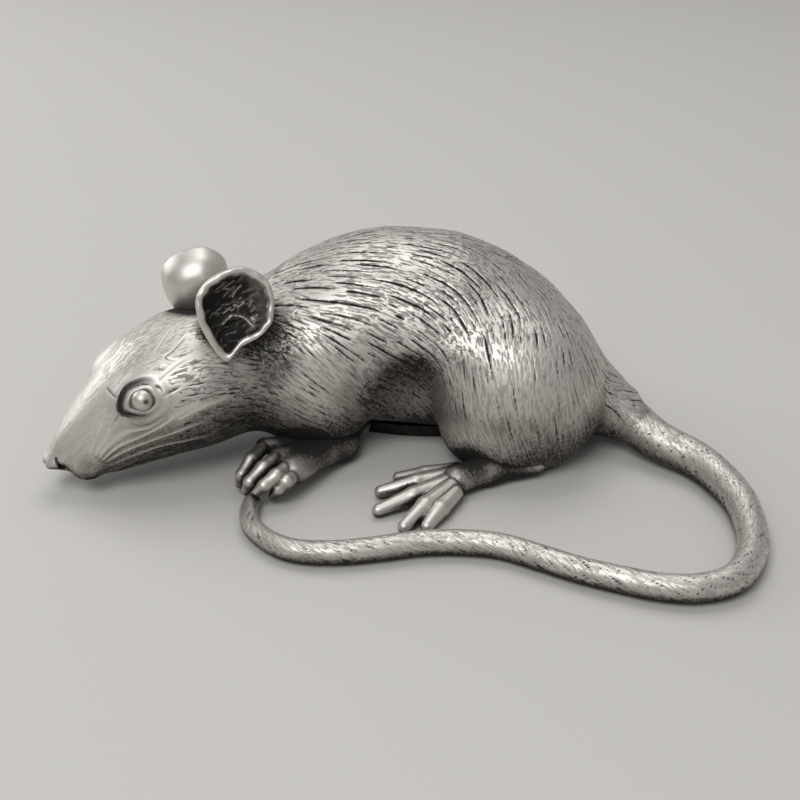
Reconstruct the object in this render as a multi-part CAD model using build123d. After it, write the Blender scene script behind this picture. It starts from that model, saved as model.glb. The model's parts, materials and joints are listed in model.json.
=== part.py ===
from build123d import *
import math
import os

# A crouching mouse cast in pewter: two hollow body halves, a head, ears, legs and a tail, all
# pinned together. The mouse faces -X, its left side is -Y and it stands on the plane Z = 0.

# Body, in millimetres
NECK_X = -22.0
BODY_LENGTH = 59.2
BODY_WIDTH = 36.0
BODY_HEIGHT = 33.2
BELLY_GAP = 1.5
WALL = 3.0
SEAM_Y = -1.5

# Head, with its turn to the left and its droop in degrees
NECK_Y = -5.3
NECK_Z = 18.1
NECK_WIDTH = 22.0
NECK_HEIGHT = 19.6
HEAD_LENGTH = 39.4
HEAD_WIDTH = 24.4
HEAD_HEIGHT = 20.2
HEAD_TURN = 30.0
HEAD_DROOP = 15.0

# Ears and eyes. The left ear stands wider and opens further forwards than the right one.
EAR_SPAN = 12.0
EAR_DEPTH = 6.2
EAR_HOLLOW = 4.0
EAR_WALL = 1.2
EAR_STATION = 5.7
EAR_ANGLE = 55.5
LEFT_EAR_STANDOFF = 5.5
LEFT_EAR_TILT = 22.0
LEFT_EAR_SWEEP = 9.0
LEFT_EAR_SCALE = 1.0
RIGHT_EAR_STANDOFF = 3.4
RIGHT_EAR_TILT = 13.0
RIGHT_EAR_SWEEP = -19.0
RIGHT_EAR_SCALE = 0.9
EAR_PEG_DIAMETER = 2.0
EAR_PEG_LENGTH = 5.0
EYE_DIAMETER = 3.8
EYE_STATION = 23.6
EYE_ANGLE = 33.4
EYE_SINK = 0.3

# Shoulders, haunches and legs
SHOULDER_RADIUS = 10.6
SHOULDER_THICKNESS = 9.2
SHOULDER_FROM_NECK = 9.5
SHOULDER_INSET = 8.5
SHOULDER_Z = 13.0
LEFT_HAUNCH_RADIUS = 13.6
RIGHT_HAUNCH_RADIUS = 12.2
HAUNCH_THICKNESS = 11.6
HAUNCH_FROM_TAIL = 18.2
LEFT_HAUNCH_INSET = 6.5
RIGHT_HAUNCH_INSET = 8.5
HAUNCH_Z = 11.0
FOREARM_DIAMETER = 6.0
WRIST_DIAMETER = 5.0
FINGER_DIAMETER = 2.6
INSTEP_DIAMETER = 5.2
TOE_DIAMETER = 2.8

# Tail
TAIL_ROOT_Y = -9.8
TAIL_ROOT_Z = 6.2
TAIL_TURN = 50.0
TAIL_DROOP = 20.0
TAIL_ROOT_DIAMETER = 8.4
TAIL_ROOT_STEP = 0.2
TAIL_ROOT_DEPTH = 2.0
TAIL_BEND_DIAMETER = 5.2
TAIL_TIP_DIAMETER = 2.8
TAIL_TIP_GAP = 0.5
TAIL_LIFT = 0.2

# Belly plate
PLATE_X = 6.0
PLATE_LENGTH = 32.0
PLATE_WIDTH = 12.0
PLATE_THICKNESS = 2.0
PLATE_LEDGE = 1.5
PLATE_RIM = 2.0

# Pins and fits
SEAM_PIN_DIAMETER = 2.0
SEAM_PIN_LENGTH = 10.0
SEAM_BOSS_WALL = 2.0
NECK_PIN_DIAMETER = 6.0
NECK_PIN_LENGTH = 14.0
TAIL_PIN_DIAMETER = 3.0
TAIL_PIN_LENGTH = 12.0
FORELEG_PIN_DIAMETER = 1.8
FORELEG_PIN_LENGTH = 6.0
ELBOW_PIN_SHARE = 0.2
HIND_PIN_DIAMETER = 1.8
HIND_PIN_LENGTH = 9.0
FIT = 0.05

# Body sections: share of the length, sideways offset, shares of the height and of the width
BARREL = [
    (0.20, -0.5, 0.96, 0.90),
    (0.37, 0.4, 1.00, 0.955),
    (0.50, 0.4, 0.975, 1.00),
    (0.65, 0.1, 0.88, 1.01),
    (0.85, -3.0, 0.62, 0.75),
]
# Head sections: share of the length, offset upwards, shares of the width and of the height
SKULL = [
    (0.205, -1.4, 1.0, 1.03),
    (0.36, -0.5, 1.0, 1.04),
    (0.51, -0.3, 0.90, 0.97),
    (0.67, -0.8, 0.73, 0.80),
    (0.795, -1.7, 0.55, 0.615),
    (0.90, -2.1, 0.38, 0.42),
    (0.967, -2.3, 0.24, 0.23),
    (1.0, -2.4, 0.10, 0.10),
]
# Rim of an ear: rearwards and upwards, in shares of half its span, from the pointed lower end
EAR_OUTLINE = [
    (-0.70, -1.10), (-0.93, -0.27), (-0.90, 0.35), (-0.72, 0.73), (-0.33, 0.97), (0.15, 1.03), (0.60, 0.95),
    (0.97, 0.58), (1.07, 0.13), (0.92, -0.35), (0.70, -0.67), (0.28, -0.85), (-0.23, -0.92),
]
# Centreline of the tail on the ground, from the rump round to the left fore paw
TAIL_ROUTE = [
    (37.2, -9.4), (41.5, -14.8), (47.5, -20.2), (51.2, -28.6), (51.7, -36.6), (50.3, -43.2),
    (46.8, -48.8), (41.5, -50.9), (36.0, -50.5), (25.4, -46.5), (14.5, -40.9), (2.9, -40.2),
    (-8.6, -42.3), (-14.4, -42.0), (-18.4, -40.0), (-21.8, -35.9), (-23.0, -31.8), (-22.9, -30.0),
]
# Left foreleg from its shoulder: forearm and four curled fingers, X and Y offsets with heights
FOREARM = [(7.0, -3.0, 5.6), (-0.5, -9.3, 4.4), (-5.0, -10.7, 4.6)]
FINGERS = [
    [(-6.5, -6.8, 4.6), (-10.3, -8.7, 4.6), (-12.1, -11.5, 3.0), (-12.7, -13.7, 1.5)],
    [(-4.6, -9.0, 5.0), (-7.9, -11.3, 5.0), (-10.5, -13.5, 3.4), (-11.9, -15.1, 1.5)],
    [(-3.0, -11.2, 5.0), (-5.8, -13.9, 5.0), (-8.3, -16.1, 3.6), (-9.8, -17.7, 2.0)],
    [(-1.6, -12.4, 4.4), (-3.9, -15.9, 4.2), (-5.9, -17.7, 2.8), (-7.1, -19.1, 1.5)],
]
# Left hind foot from its haunch: instep and five toes
INSTEP = [(3.0, -5.5, 2.9), (-5.0, -9.2, 2.9), (-10.0, -12.5, 2.7)]
TOES = [
    [(-8.0, -10.0, 2.6), (-15.0, -10.9, 2.2), (-19.2, -10.5, 1.5)],
    [(-8.0, -11.5, 2.8), (-16.5, -13.4, 2.3), (-22.0, -14.4, 1.5)],
    [(-8.5, -13.1, 2.8), (-17.0, -16.8, 2.2), (-22.3, -19.3, 1.5)],
    [(-8.5, -14.2, 2.6), (-15.2, -19.5, 2.2), (-18.4, -23.5, 1.5)],
    [(-8.5, -15.0, 2.2), (-13.0, -20.0, 1.8), (-15.0, -23.3, 1.5)],
]
RING_POINTS = 12
LIMB_STEPS = 3
DOME_STEPS = 8
EAR_STEPS = 6
DOME_END = 84.0
TIP_SHARES = (0.0, 0.4, 0.7, 0.9, 0.98)
REACH = 400.0


def heading(turn, droop, along):
    """Unit vector along +X or -X, turned towards the left side and drooped, in degrees."""
    level = math.cos(math.radians(droop))
    return Vector(
        along * math.cos(math.radians(turn)) * level,
        -math.sin(math.radians(turn)) * level,
        -math.sin(math.radians(droop)),
    )


def ring(centre, side, up, half_width, half_height):
    """Oval face through evenly spaced points, always started on the same side."""
    angles = [2 * math.pi * k / RING_POINTS for k in range(RING_POINTS)]
    points = [
        centre + side * (half_width * math.cos(a)) + up * (half_height * math.sin(a))
        for a in angles
    ]
    return Face(Wire([Edge.make_spline(points, periodic=True)]))


def dome(centre, radius, depth, axis, start):
    """Round solid about an axis, from a start angle to a small flat on its far end."""
    place = Plane(origin=centre, z_dir=axis)
    steps = round(DOME_STEPS * (DOME_END - start) / DOME_END)
    faces = []
    for k in range(steps + 1):
        angle = math.radians(lerp(start, DOME_END, k / steps))
        disc = Circle(radius * math.cos(angle))
        faces.append(place * (Pos(0, 0, depth * math.sin(angle)) * disc))
    return loft(faces, ruled=True)


def rod(start, direction, length, diameter):
    """Cylinder from a point along a direction."""
    place = Plane(origin=start, z_dir=direction)
    return place * Cylinder(diameter / 2, length, align=(Align.CENTER, Align.CENTER, Align.MIN))


def limb(points, radii, start_way=None):
    """Tapered limb along a smooth centreline, rounded off at the far end."""
    ways = [start_way or (points[1] - points[0]), points[-1] - points[-2]]
    path = Edge.make_spline(points, tangents=[way.normalized() for way in ways])
    lengths = [0.0]
    for before, after in zip(points, points[1:]):
        lengths.append(lengths[-1] + (after - before).length)
    stations = []
    for k in range(len(points) - 1):
        for step in range(LIMB_STEPS):
            share = lerp(lengths[k], lengths[k + 1], step / LIMB_STEPS) / lengths[-1]
            radius = lerp(radii[k], radii[k + 1], step / LIMB_STEPS)
            stations.append((path.position_at(share), path.tangent_at(share), radius))
    end, tip = points[-1], path.tangent_at(1)
    for share in TIP_SHARES:
        radius = radii[-1] * math.sqrt(1 - share ** 2)
        stations.append((end + tip * (radii[-1] * share), tip, radius))
    faces = []
    for place, along, radius in stations:
        across = Vector(0, 0, 1).cross(along).normalized()
        faces.append(Plane(origin=place, x_dir=across, z_dir=along) * Circle(radius))
    return loft(faces, ruled=True)


def beyond(origin, direction):
    """Everything past a plane."""
    return Plane(origin=origin, z_dir=direction) * (Pos(0, 0, REACH / 2) * Box(REACH, REACH, REACH))


def largest(shape):
    """The one biggest solid of a shape."""
    return max(shape.solids(), key=lambda solid: solid.volume)


def lerp(low, high, share):
    return low + (high - low) * share


# Places that several pieces share
FORWARD = heading(HEAD_TURN, HEAD_DROOP, -1)
LEFT = Vector(math.sin(math.radians(HEAD_TURN)), -math.cos(math.radians(HEAD_TURN)), 0)
UP = FORWARD.cross(LEFT)
NECK = Vector(NECK_X, NECK_Y, NECK_Z)
TAIL_WAY = heading(TAIL_TURN, TAIL_DROOP, 1)
TAIL_ROOT = Vector(NECK_X + BODY_LENGTH, TAIL_ROOT_Y, TAIL_ROOT_Z)
TAIL_SIDE = Vector(0, 0, 1).cross(TAIL_WAY).normalized()
TAIL_UP = TAIL_WAY.cross(TAIL_SIDE)
SHOULDER_X = NECK_X + SHOULDER_FROM_NECK
SHOULDER_Y = BODY_WIDTH / 2 - SHOULDER_INSET
SHOULDERS = {
    "left": Vector(SHOULDER_X, -SHOULDER_Y, SHOULDER_Z),
    "right": Vector(SHOULDER_X, SHOULDER_Y, SHOULDER_Z),
}
HAUNCH_X = NECK_X + BODY_LENGTH - HAUNCH_FROM_TAIL
HAUNCHES = {
    "left": Vector(HAUNCH_X, LEFT_HAUNCH_INSET - BODY_WIDTH / 2, HAUNCH_Z),
    "right": Vector(HAUNCH_X, BODY_WIDTH / 2 - RIGHT_HAUNCH_INSET, HAUNCH_Z),
}
HAUNCH_RADII = {"left": LEFT_HAUNCH_RADIUS, "right": RIGHT_HAUNCH_RADIUS}
SIDES = {"left": 1, "right": -1}
EAR_STANDOFFS = {"left": LEFT_EAR_STANDOFF, "right": RIGHT_EAR_STANDOFF}
EAR_TILTS = {"left": LEFT_EAR_TILT, "right": RIGHT_EAR_TILT}
EAR_SWEEPS = {"left": LEFT_EAR_SWEEP, "right": RIGHT_EAR_SWEEP}
EAR_SCALES = {"left": LEFT_EAR_SCALE, "right": RIGHT_EAR_SCALE}


def barrel_ring(row, inset):
    """Upright section of the body, drawn in by a wall."""
    share, offset, top_share, width_share = row
    top = BODY_HEIGHT * top_share
    centre = Vector(NECK_X + BODY_LENGTH * share, offset, (top + BELLY_GAP) / 2)
    half_height = (top - BELLY_GAP) / 2 - inset
    half_width = BODY_WIDTH / 2 * width_share - inset
    return ring(centre, Vector(0, 1, 0), Vector(0, 0, 1), half_width, half_height)


def body_blank():
    """Outer form of the body, without its hollow: barrel, shoulders, haunches and belly rim."""
    neck = ring(NECK, LEFT * -1, UP, NECK_WIDTH / 2, NECK_HEIGHT / 2)
    root = ring(TAIL_ROOT, TAIL_SIDE, TAIL_UP, TAIL_ROOT_DIAMETER / 2, TAIL_ROOT_DIAMETER / 2)
    barrel = loft([neck] + [barrel_ring(row, 0) for row in BARREL] + [root])
    forms = [plate_oval(PLATE_RIM, 0, BELLY_GAP + WALL)]
    for side, hand in SIDES.items():
        out = Vector(0, -hand, 0)
        shoulder = dome(SHOULDERS[side], SHOULDER_RADIUS, SHOULDER_THICKNESS, out, -DOME_END)
        haunch = dome(HAUNCHES[side], HAUNCH_RADII[side], HAUNCH_THICKNESS, out, -DOME_END)
        forms += [shoulder - beyond(NECK, FORWARD), haunch - beyond((0, 0, 0), (0, 0, -1))]
    return barrel.fuse(*forms)


def plate_oval(margin, bottom, top):
    """Upright oval prism round the belly plate, wider than it by a margin."""
    oval = Ellipse(PLATE_LENGTH / 2 + margin, PLATE_WIDTH / 2 + margin)
    return extrude(Pos(PLATE_X, SEAM_Y, bottom) * oval, top - bottom)


def seam_pin_places():
    """Points on the seam at the chest, the back and the rump."""
    front, middle, rear = BARREL[0], BARREL[2], BARREL[4]
    drop = WALL + SEAM_PIN_DIAMETER / 2
    return [
        Vector(NECK_X + BODY_LENGTH * front[0], SEAM_Y, BELLY_GAP + drop),
        Vector(NECK_X + BODY_LENGTH * middle[0], SEAM_Y, BODY_HEIGHT * middle[2] - drop),
        Vector(NECK_X + BODY_LENGTH * rear[0], SEAM_Y, BODY_HEIGHT * rear[2] / 2),
    ]


def seam_rods(diameter, length):
    """Rods across the seam, half of each on either side."""
    rods = []
    for place in seam_pin_places():
        start = place - Vector(0, length / 2, 0)
        rods.append(rod(start, (0, 1, 0), length, diameter))
    return rods


def head_point(along, angle, outward):
    """Point over the head at a distance from the neck, at an angle above its left side."""
    rows = [(0.0, 0.0, NECK_WIDTH / HEAD_WIDTH, NECK_HEIGHT / HEAD_HEIGHT)] + SKULL
    share = along / HEAD_LENGTH
    low = max(k for k in range(len(rows) - 1) if rows[k][0] <= share)
    step = (share - rows[low][0]) / (rows[low + 1][0] - rows[low][0])
    rise, wide, high = (lerp(rows[low][k], rows[low + 1][k], step) for k in (1, 2, 3))
    cosine = math.cos(math.radians(angle))
    sine = math.sin(math.radians(angle))
    half_width = HEAD_WIDTH / 2 * wide
    half_height = HEAD_HEIGHT / 2 * high
    radius = 1 / math.hypot(cosine / half_width, sine / half_height) + outward
    return along, radius * cosine, rise + radius * sine


def on_head(along, sideways, upward, hand):
    """Point of the head frame, on its left side or mirrored to its right."""
    return NECK + FORWARD * along + LEFT * (sideways * hand) + UP * upward


def head_blank():
    neck = ring(NECK, LEFT * -1, UP, NECK_WIDTH / 2, NECK_HEIGHT / 2)
    rings = [neck]
    for share, rise, wide, high in SKULL:
        centre = NECK + FORWARD * (HEAD_LENGTH * share) + UP * rise
        rings.append(ring(centre, LEFT * -1, UP, HEAD_WIDTH / 2 * wide, HEAD_HEIGHT / 2 * high))
    return loft(rings)


def ear_facing(side):
    """Direction in which an ear opens: outwards, tilted up and swept forwards or back."""
    tilt = math.radians(EAR_TILTS[side])
    sweep = math.radians(EAR_SWEEPS[side])
    return (
        FORWARD * (math.sin(sweep) * math.cos(tilt))
        + LEFT * (SIDES[side] * math.cos(sweep) * math.cos(tilt))
        + UP * math.sin(tilt)
    )


def ear_rim(side):
    place = head_point(EAR_STATION, EAR_ANGLE, EAR_STANDOFFS[side])
    return on_head(*place, SIDES[side])


def ear_bowl(side, span, depth):
    """Bowl behind the rim of an ear, with sections shaped like the rim."""
    facing = ear_facing(side)
    upward = (UP - facing * UP.dot(facing)).normalized()
    rearward = upward.cross(facing) * SIDES[side]
    faces = []
    for k in range(EAR_STEPS + 1):
        angle = math.radians(DOME_END * k / EAR_STEPS)
        size = span / 2 * math.cos(angle)
        centre = ear_rim(side) - facing * (depth * math.sin(angle))
        points = [centre + rearward * (x * size) + upward * (y * size) for x, y in EAR_OUTLINE]
        faces.append(Face(Wire([Edge.make_spline(points, periodic=True)])))
    return loft(faces, ruled=True)


def ear_seat(side, gap):
    """Outer form of an ear, with a gap all round."""
    scale = EAR_SCALES[side]
    return ear_bowl(side, EAR_SPAN * scale + 2 * gap, EAR_DEPTH * scale + gap)


def ear_peg(side, diameter, extra):
    """Peg from the bottom of an ear straight down into the head."""
    bottom = (EAR_DEPTH + EAR_HOLLOW) / 2 * EAR_SCALES[side]
    start = ear_rim(side) - ear_facing(side) * bottom
    return rod(start, UP * -1, EAR_PEG_LENGTH + extra, diameter)


def ear(side):
    """Cup-shaped ear with its peg."""
    scale = EAR_SCALES[side]
    hollow = ear_bowl(side, (EAR_SPAN - 2 * EAR_WALL) * scale, EAR_HOLLOW * scale)
    return ear_seat(side, 0) + ear_peg(side, EAR_PEG_DIAMETER, 0) - hollow


def eye(hand, diameter):
    place = on_head(*head_point(EYE_STATION, EYE_ANGLE, -EYE_SINK), hand)
    return Pos(*place) * Sphere(diameter / 2)


def from_joint(base, offsets, hand):
    """Points by offsets from a shoulder or haunch, mirrored for the right side."""
    return [Vector(base.X + x, base.Y + y * hand, z) for x, y, z in offsets]


def foreleg(side):
    """Forearm and four curled fingers."""
    base, hand = SHOULDERS[side], SIDES[side]
    radii = [FOREARM_DIAMETER / 2, WRIST_DIAMETER / 2, WRIST_DIAMETER / 2]
    form = limb(from_joint(base, FOREARM, hand), radii)
    for finger in FINGERS:
        points = from_joint(base, finger, hand)
        form += limb(points, [FINGER_DIAMETER / 2] * len(points))
    return form


def hind_foot(side):
    """Instep and five toes, flat on the ground."""
    base, hand = HAUNCHES[side], SIDES[side]
    form = limb(from_joint(base, INSTEP, hand), [INSTEP_DIAMETER / 2] * len(INSTEP))
    for toe in TOES:
        points = from_joint(base, toe, hand)
        form += limb(points, [TOE_DIAMETER / 2] * len(points))
    return form


def tail():
    """Tail that curls round the left side and ends short of the left fore paw."""
    paw_tip = from_joint(SHOULDERS["left"], FINGERS[2], SIDES["left"])[-1]
    tip_y = paw_tip.Y - FINGER_DIAMETER / 2 - TAIL_TIP_DIAMETER / 2 - TAIL_TIP_GAP
    root_shift = Vector(TAIL_ROOT.X - TAIL_ROUTE[0][0], TAIL_ROOT.Y - TAIL_ROUTE[0][1])
    tip_shift = Vector(paw_tip.X - TAIL_ROUTE[-1][0], tip_y - TAIL_ROUTE[-1][1])
    last = len(TAIL_ROUTE) - 1
    points, radii = [], []
    for k, (x, y) in enumerate(TAIL_ROUTE):
        share = k / last
        shift = root_shift * (1 - share) + tip_shift * share
        bend = min(k / 3, 1)
        taper = max(k - 3, 0) / (last - 3)
        thick = lerp(TAIL_ROOT_DIAMETER - 2 * TAIL_ROOT_STEP, TAIL_BEND_DIAMETER, bend)
        radius = lerp(thick, TAIL_TIP_DIAMETER, taper) / 2
        height = TAIL_ROOT.Z if k == 0 else radius + TAIL_LIFT
        points.append(Vector(x + shift.X, y + shift.Y, height))
        radii.append(radius)
    points.insert(0, TAIL_ROOT - TAIL_WAY * TAIL_ROOT_DEPTH)
    radii.insert(0, radii[0])
    return limb(points, radii, TAIL_WAY)


def body_hollow():
    """Space inside the body, a wall thinner than the barrel all round."""
    return loft([barrel_ring(row, WALL) for row in BARREL])


def foreleg_pin(side, diameter):
    """Pin from the forearm up into the shoulder."""
    elbow, wrist = from_joint(SHOULDERS[side], FOREARM, SIDES[side])[:2]
    start = lerp(elbow, wrist, ELBOW_PIN_SHARE)
    return rod(start, SHOULDERS[side] - start, FORELEG_PIN_LENGTH, diameter)


def hind_pin(side, diameter):
    """Pin from the instep up into the haunch."""
    middle = from_joint(HAUNCHES[side], INSTEP, SIDES[side])[1]
    way = (HAUNCHES[side] - middle).normalized()
    return rod(middle - way * (INSTEP_DIAMETER / 4), way, HIND_PIN_LENGTH, diameter)


def neck_pin(diameter):
    return rod(NECK - FORWARD * (NECK_PIN_LENGTH / 2), FORWARD, NECK_PIN_LENGTH, diameter)


def tail_pin(diameter):
    return rod(TAIL_ROOT - TAIL_WAY * (TAIL_PIN_LENGTH / 2), TAIL_WAY, TAIL_PIN_LENGTH, diameter)


def cored_body(blank):
    """Body with its hollow, its seam bosses, its plate seat and every pin hole."""
    hollow = body_hollow()
    boss_length = SEAM_PIN_LENGTH + 2 * SEAM_BOSS_WALL
    for boss in seam_rods(SEAM_PIN_DIAMETER + 2 * SEAM_BOSS_WALL, boss_length):
        hollow -= boss
    form = blank - hollow
    form -= plate_oval(0, 0, PLATE_THICKNESS)
    form -= plate_oval(-PLATE_LEDGE, 0, BELLY_GAP + 2 * WALL)
    for hole in seam_rods(SEAM_PIN_DIAMETER + 2 * FIT, SEAM_PIN_LENGTH):
        form -= hole
    form -= neck_pin(NECK_PIN_DIAMETER + 2 * FIT)
    form -= tail_pin(TAIL_PIN_DIAMETER + 2 * FIT)
    for side in SIDES:
        form -= foreleg_pin(side, FORELEG_PIN_DIAMETER + 2 * FIT)
        form -= hind_pin(side, HIND_PIN_DIAMETER + 2 * FIT)
    return form


def finished_head(skull):
    """Head with its eye sockets, the seats of the ears, and the holes for their pegs and the neck pin."""
    form = skull - neck_pin(NECK_PIN_DIAMETER + 2 * FIT)
    for side, hand in SIDES.items():
        form -= ear_seat(side, FIT)
        form -= ear_peg(side, EAR_PEG_DIAMETER + 2 * FIT, FIT)
        form -= eye(hand, EYE_DIAMETER + 2 * FIT)
    return largest(form)


def build_nodes():
    """Every piece of the figurine by its name."""
    blank = body_blank()
    skull = head_blank()
    body = cored_body(blank)
    seam = Plane(origin=(0, SEAM_Y, 0), z_dir=(0, 1, 0))
    nodes = {
        "body_left_half": largest(split(body, bisect_by=seam, keep=Keep.BOTTOM)),
        "body_right_half": largest(split(body, bisect_by=seam, keep=Keep.TOP)),
        "belly_plate": plate_oval(-FIT, 0, PLATE_THICKNESS),
        "seam_pins": Compound(seam_rods(SEAM_PIN_DIAMETER, SEAM_PIN_LENGTH)),
        "head": finished_head(skull),
        "neck_pin": neck_pin(NECK_PIN_DIAMETER),
        "tail": largest(tail() - blank - tail_pin(TAIL_PIN_DIAMETER + 2 * FIT)),
        "tail_pin": tail_pin(TAIL_PIN_DIAMETER),
    }
    for side, hand in SIDES.items():
        nodes[f"{side}_ear"] = ear(side)
        nodes[f"{side}_eye"] = eye(hand, EYE_DIAMETER)
        leg = largest(foreleg(side) - blank)
        nodes[f"{side}_foreleg"] = leg - foreleg_pin(side, FORELEG_PIN_DIAMETER + 2 * FIT)
        foot = largest(hind_foot(side) - blank)
        nodes[f"{side}_hind_foot"] = foot - hind_pin(side, HIND_PIN_DIAMETER + 2 * FIT)
    nodes["foreleg_pins"] = Compound([foreleg_pin(side, FORELEG_PIN_DIAMETER) for side in SIDES])
    nodes["hind_foot_pins"] = Compound([hind_pin(side, HIND_PIN_DIAMETER) for side in SIDES])
    return nodes


# The origin goes to the middle of the figurine's outline, on the ground
nodes = build_nodes()
box = Compound(list(nodes.values())).bounding_box()
to_origin = Pos(-box.center().X, -box.center().Y, 0)
os.makedirs("parts", exist_ok=True)
for name, piece in nodes.items():
    export_step(to_origin * piece, f"parts/{name}.step")
print("size", box.size, "moved by", to_origin.position)
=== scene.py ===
# %% [markdown]
# A crouching mouse, cast in pewter and antiqued: dark patina in the engraved fur, burnished metal on the
# high spots. The construction comes first, as a fixed frame. Everything below is sculpted over it, in
# millimetres, and moved into the frame's metres at the end.

# %% The frame
import json
import math
import bpy
import numpy as np
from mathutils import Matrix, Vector, bvhtree, kdtree

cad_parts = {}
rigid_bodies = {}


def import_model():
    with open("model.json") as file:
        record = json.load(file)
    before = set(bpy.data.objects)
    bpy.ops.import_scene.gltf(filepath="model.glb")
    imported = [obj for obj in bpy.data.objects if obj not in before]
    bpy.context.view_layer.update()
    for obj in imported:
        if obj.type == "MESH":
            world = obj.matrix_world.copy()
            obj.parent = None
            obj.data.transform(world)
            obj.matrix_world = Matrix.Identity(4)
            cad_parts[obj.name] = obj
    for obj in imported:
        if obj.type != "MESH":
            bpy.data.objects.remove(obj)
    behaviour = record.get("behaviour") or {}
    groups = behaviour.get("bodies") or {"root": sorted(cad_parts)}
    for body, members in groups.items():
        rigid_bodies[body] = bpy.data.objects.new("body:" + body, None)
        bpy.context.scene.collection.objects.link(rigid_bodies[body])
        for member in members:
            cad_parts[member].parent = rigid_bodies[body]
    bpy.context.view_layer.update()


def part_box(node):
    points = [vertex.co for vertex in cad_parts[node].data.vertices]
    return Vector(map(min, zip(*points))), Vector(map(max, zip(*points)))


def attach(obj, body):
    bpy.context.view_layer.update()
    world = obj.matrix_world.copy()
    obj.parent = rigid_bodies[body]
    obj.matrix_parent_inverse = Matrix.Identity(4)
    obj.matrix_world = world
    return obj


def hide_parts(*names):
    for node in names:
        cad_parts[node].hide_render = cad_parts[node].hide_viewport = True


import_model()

MM = 0.001

# %% [markdown]
# The sculpt uses the mouse's own frame: it faces -X, its left side is -Y, and x = y = 0 is the middle of
# its body. The belly plate is the one solid that lies level and square, so its middle says how far the
# sculpt has to move to sit over the solids.

# %% From the sculpt to the frame
PLATE_MIDDLE = np.array([6.0, -1.5, 0.0])
LEVEL = np.array([1.0, 1.0, 0.0])
plate_low, plate_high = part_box("belly_plate")
SHIFT = (np.array((plate_low + plate_high) / 2) / MM - PLATE_MIDDLE) * LEVEL
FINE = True


def to_frame(points):
    """Sculpted millimetres as metres of the frame."""
    return (np.asarray(points, float) + SHIFT) * MM


print("sculpt moves by", SHIFT.round(2), "mm")

# %% [markdown]
# The camera stands where the photographer stood: square to the mouse's left side and looking 30 degrees
# down. Its distance and focal length are estimates, under which the sculpt's outline agrees with the
# photograph. The same numbers give the ray through any pixel, which is how the lines of the face are put in
# place later.

# %% Camera
LOOK_DOWN = math.radians(30.0)
FOCAL_PIXELS = 1300.0
DISTANCE = 223.4
AIM = np.array([0.0, 0.0, 2.8])
FRAME_PIXELS = 800
SENSOR = 36.0
ahead = np.array([0.0, math.cos(LOOK_DOWN), -math.sin(LOOK_DOWN)])
image_up = np.array([0.0, math.sin(LOOK_DOWN), math.cos(LOOK_DOWN)])
eye_point = AIM - ahead * DISTANCE

camera_data = bpy.data.cameras.new("camera")
camera_data.sensor_width = SENSOR
camera_data.lens = FOCAL_PIXELS / FRAME_PIXELS * SENSOR
camera = bpy.data.objects.new("camera", camera_data)
camera.location = to_frame(eye_point)
camera.rotation_euler = (math.pi / 2 - LOOK_DOWN, 0.0, 0.0)
camera_data.clip_start = 0.01
bpy.context.collection.objects.link(camera)
bpy.context.scene.camera = camera


def pixel_ray(column, row):
    """Direction of the ray through a pixel of the photograph."""
    across = (column - FRAME_PIXELS / 2) / FOCAL_PIXELS
    upward = (FRAME_PIXELS / 2 - row) / FOCAL_PIXELS
    way = ahead + np.array([1.0, 0.0, 0.0]) * across + image_up * upward
    return way / np.linalg.norm(way)


print("camera lens", round(camera_data.lens, 1), "mm")

# %% [markdown]
# A form is a function that gives each point its distance to a surface, negative inside. Forms join with a
# soft fillet, as wax does under a modelling tool, and that is why distances suit an animal better than
# boxes and extrusions: a shoulder can flow into a back with no edge to hide.

# %% Distances
def melt(first, second, fillet):
    """Two forms joined with a fillet."""
    share = np.clip(0.5 + 0.5 * (second - first) / fillet, 0, 1)
    return second + (first - second) * share - fillet * share * (1 - share)


def carve_out(form, tool, fillet):
    """A form with another one cut away, with a soft edge."""
    return -melt(-form, tool, fillet)


def egg(points, centre, radii):
    """Ellipsoid along the axes."""
    local = points - np.asarray(centre, float)
    radii = np.asarray(radii, float)
    reach = np.linalg.norm(local / radii, axis=-1)
    slope = np.linalg.norm(local / radii ** 2, axis=-1)
    return reach * (reach - 1) / np.maximum(slope, 1e-9)


def bone(points, start, end, start_radius, end_radius):
    """Rounded cone between two points."""
    start, end = np.asarray(start, float), np.asarray(end, float)
    axis = end - start
    share = np.clip((points - start) @ axis / (axis @ axis), 0, 1)
    reach = np.linalg.norm(points - start - share[..., None] * axis, axis=-1)
    return reach - (start_radius + (end_radius - start_radius) * share)


def limb(points, path, radii, fillet=0.0):
    """Chain of rounded cones."""
    reach = None
    for k in range(len(path) - 1):
        part = bone(points, path[k], path[k + 1], radii[k], radii[k + 1])
        if reach is None:
            reach = part
        else:
            reach = melt(reach, part, fillet) if fillet else np.minimum(reach, part)
    return reach


print("plain forms ready")

# %% [markdown]
# The body and the head change their section all the way along, so each is a loft: ovals at stations on an
# axis, with a width, a height above and a height below. Faces could be bridged from oval to oval, but as one
# more distance the loft melts with the other forms. The sizes are eased from station to station with no
# overshoot, because a bulge between two stations would show as a ring in polished metal.

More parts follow.
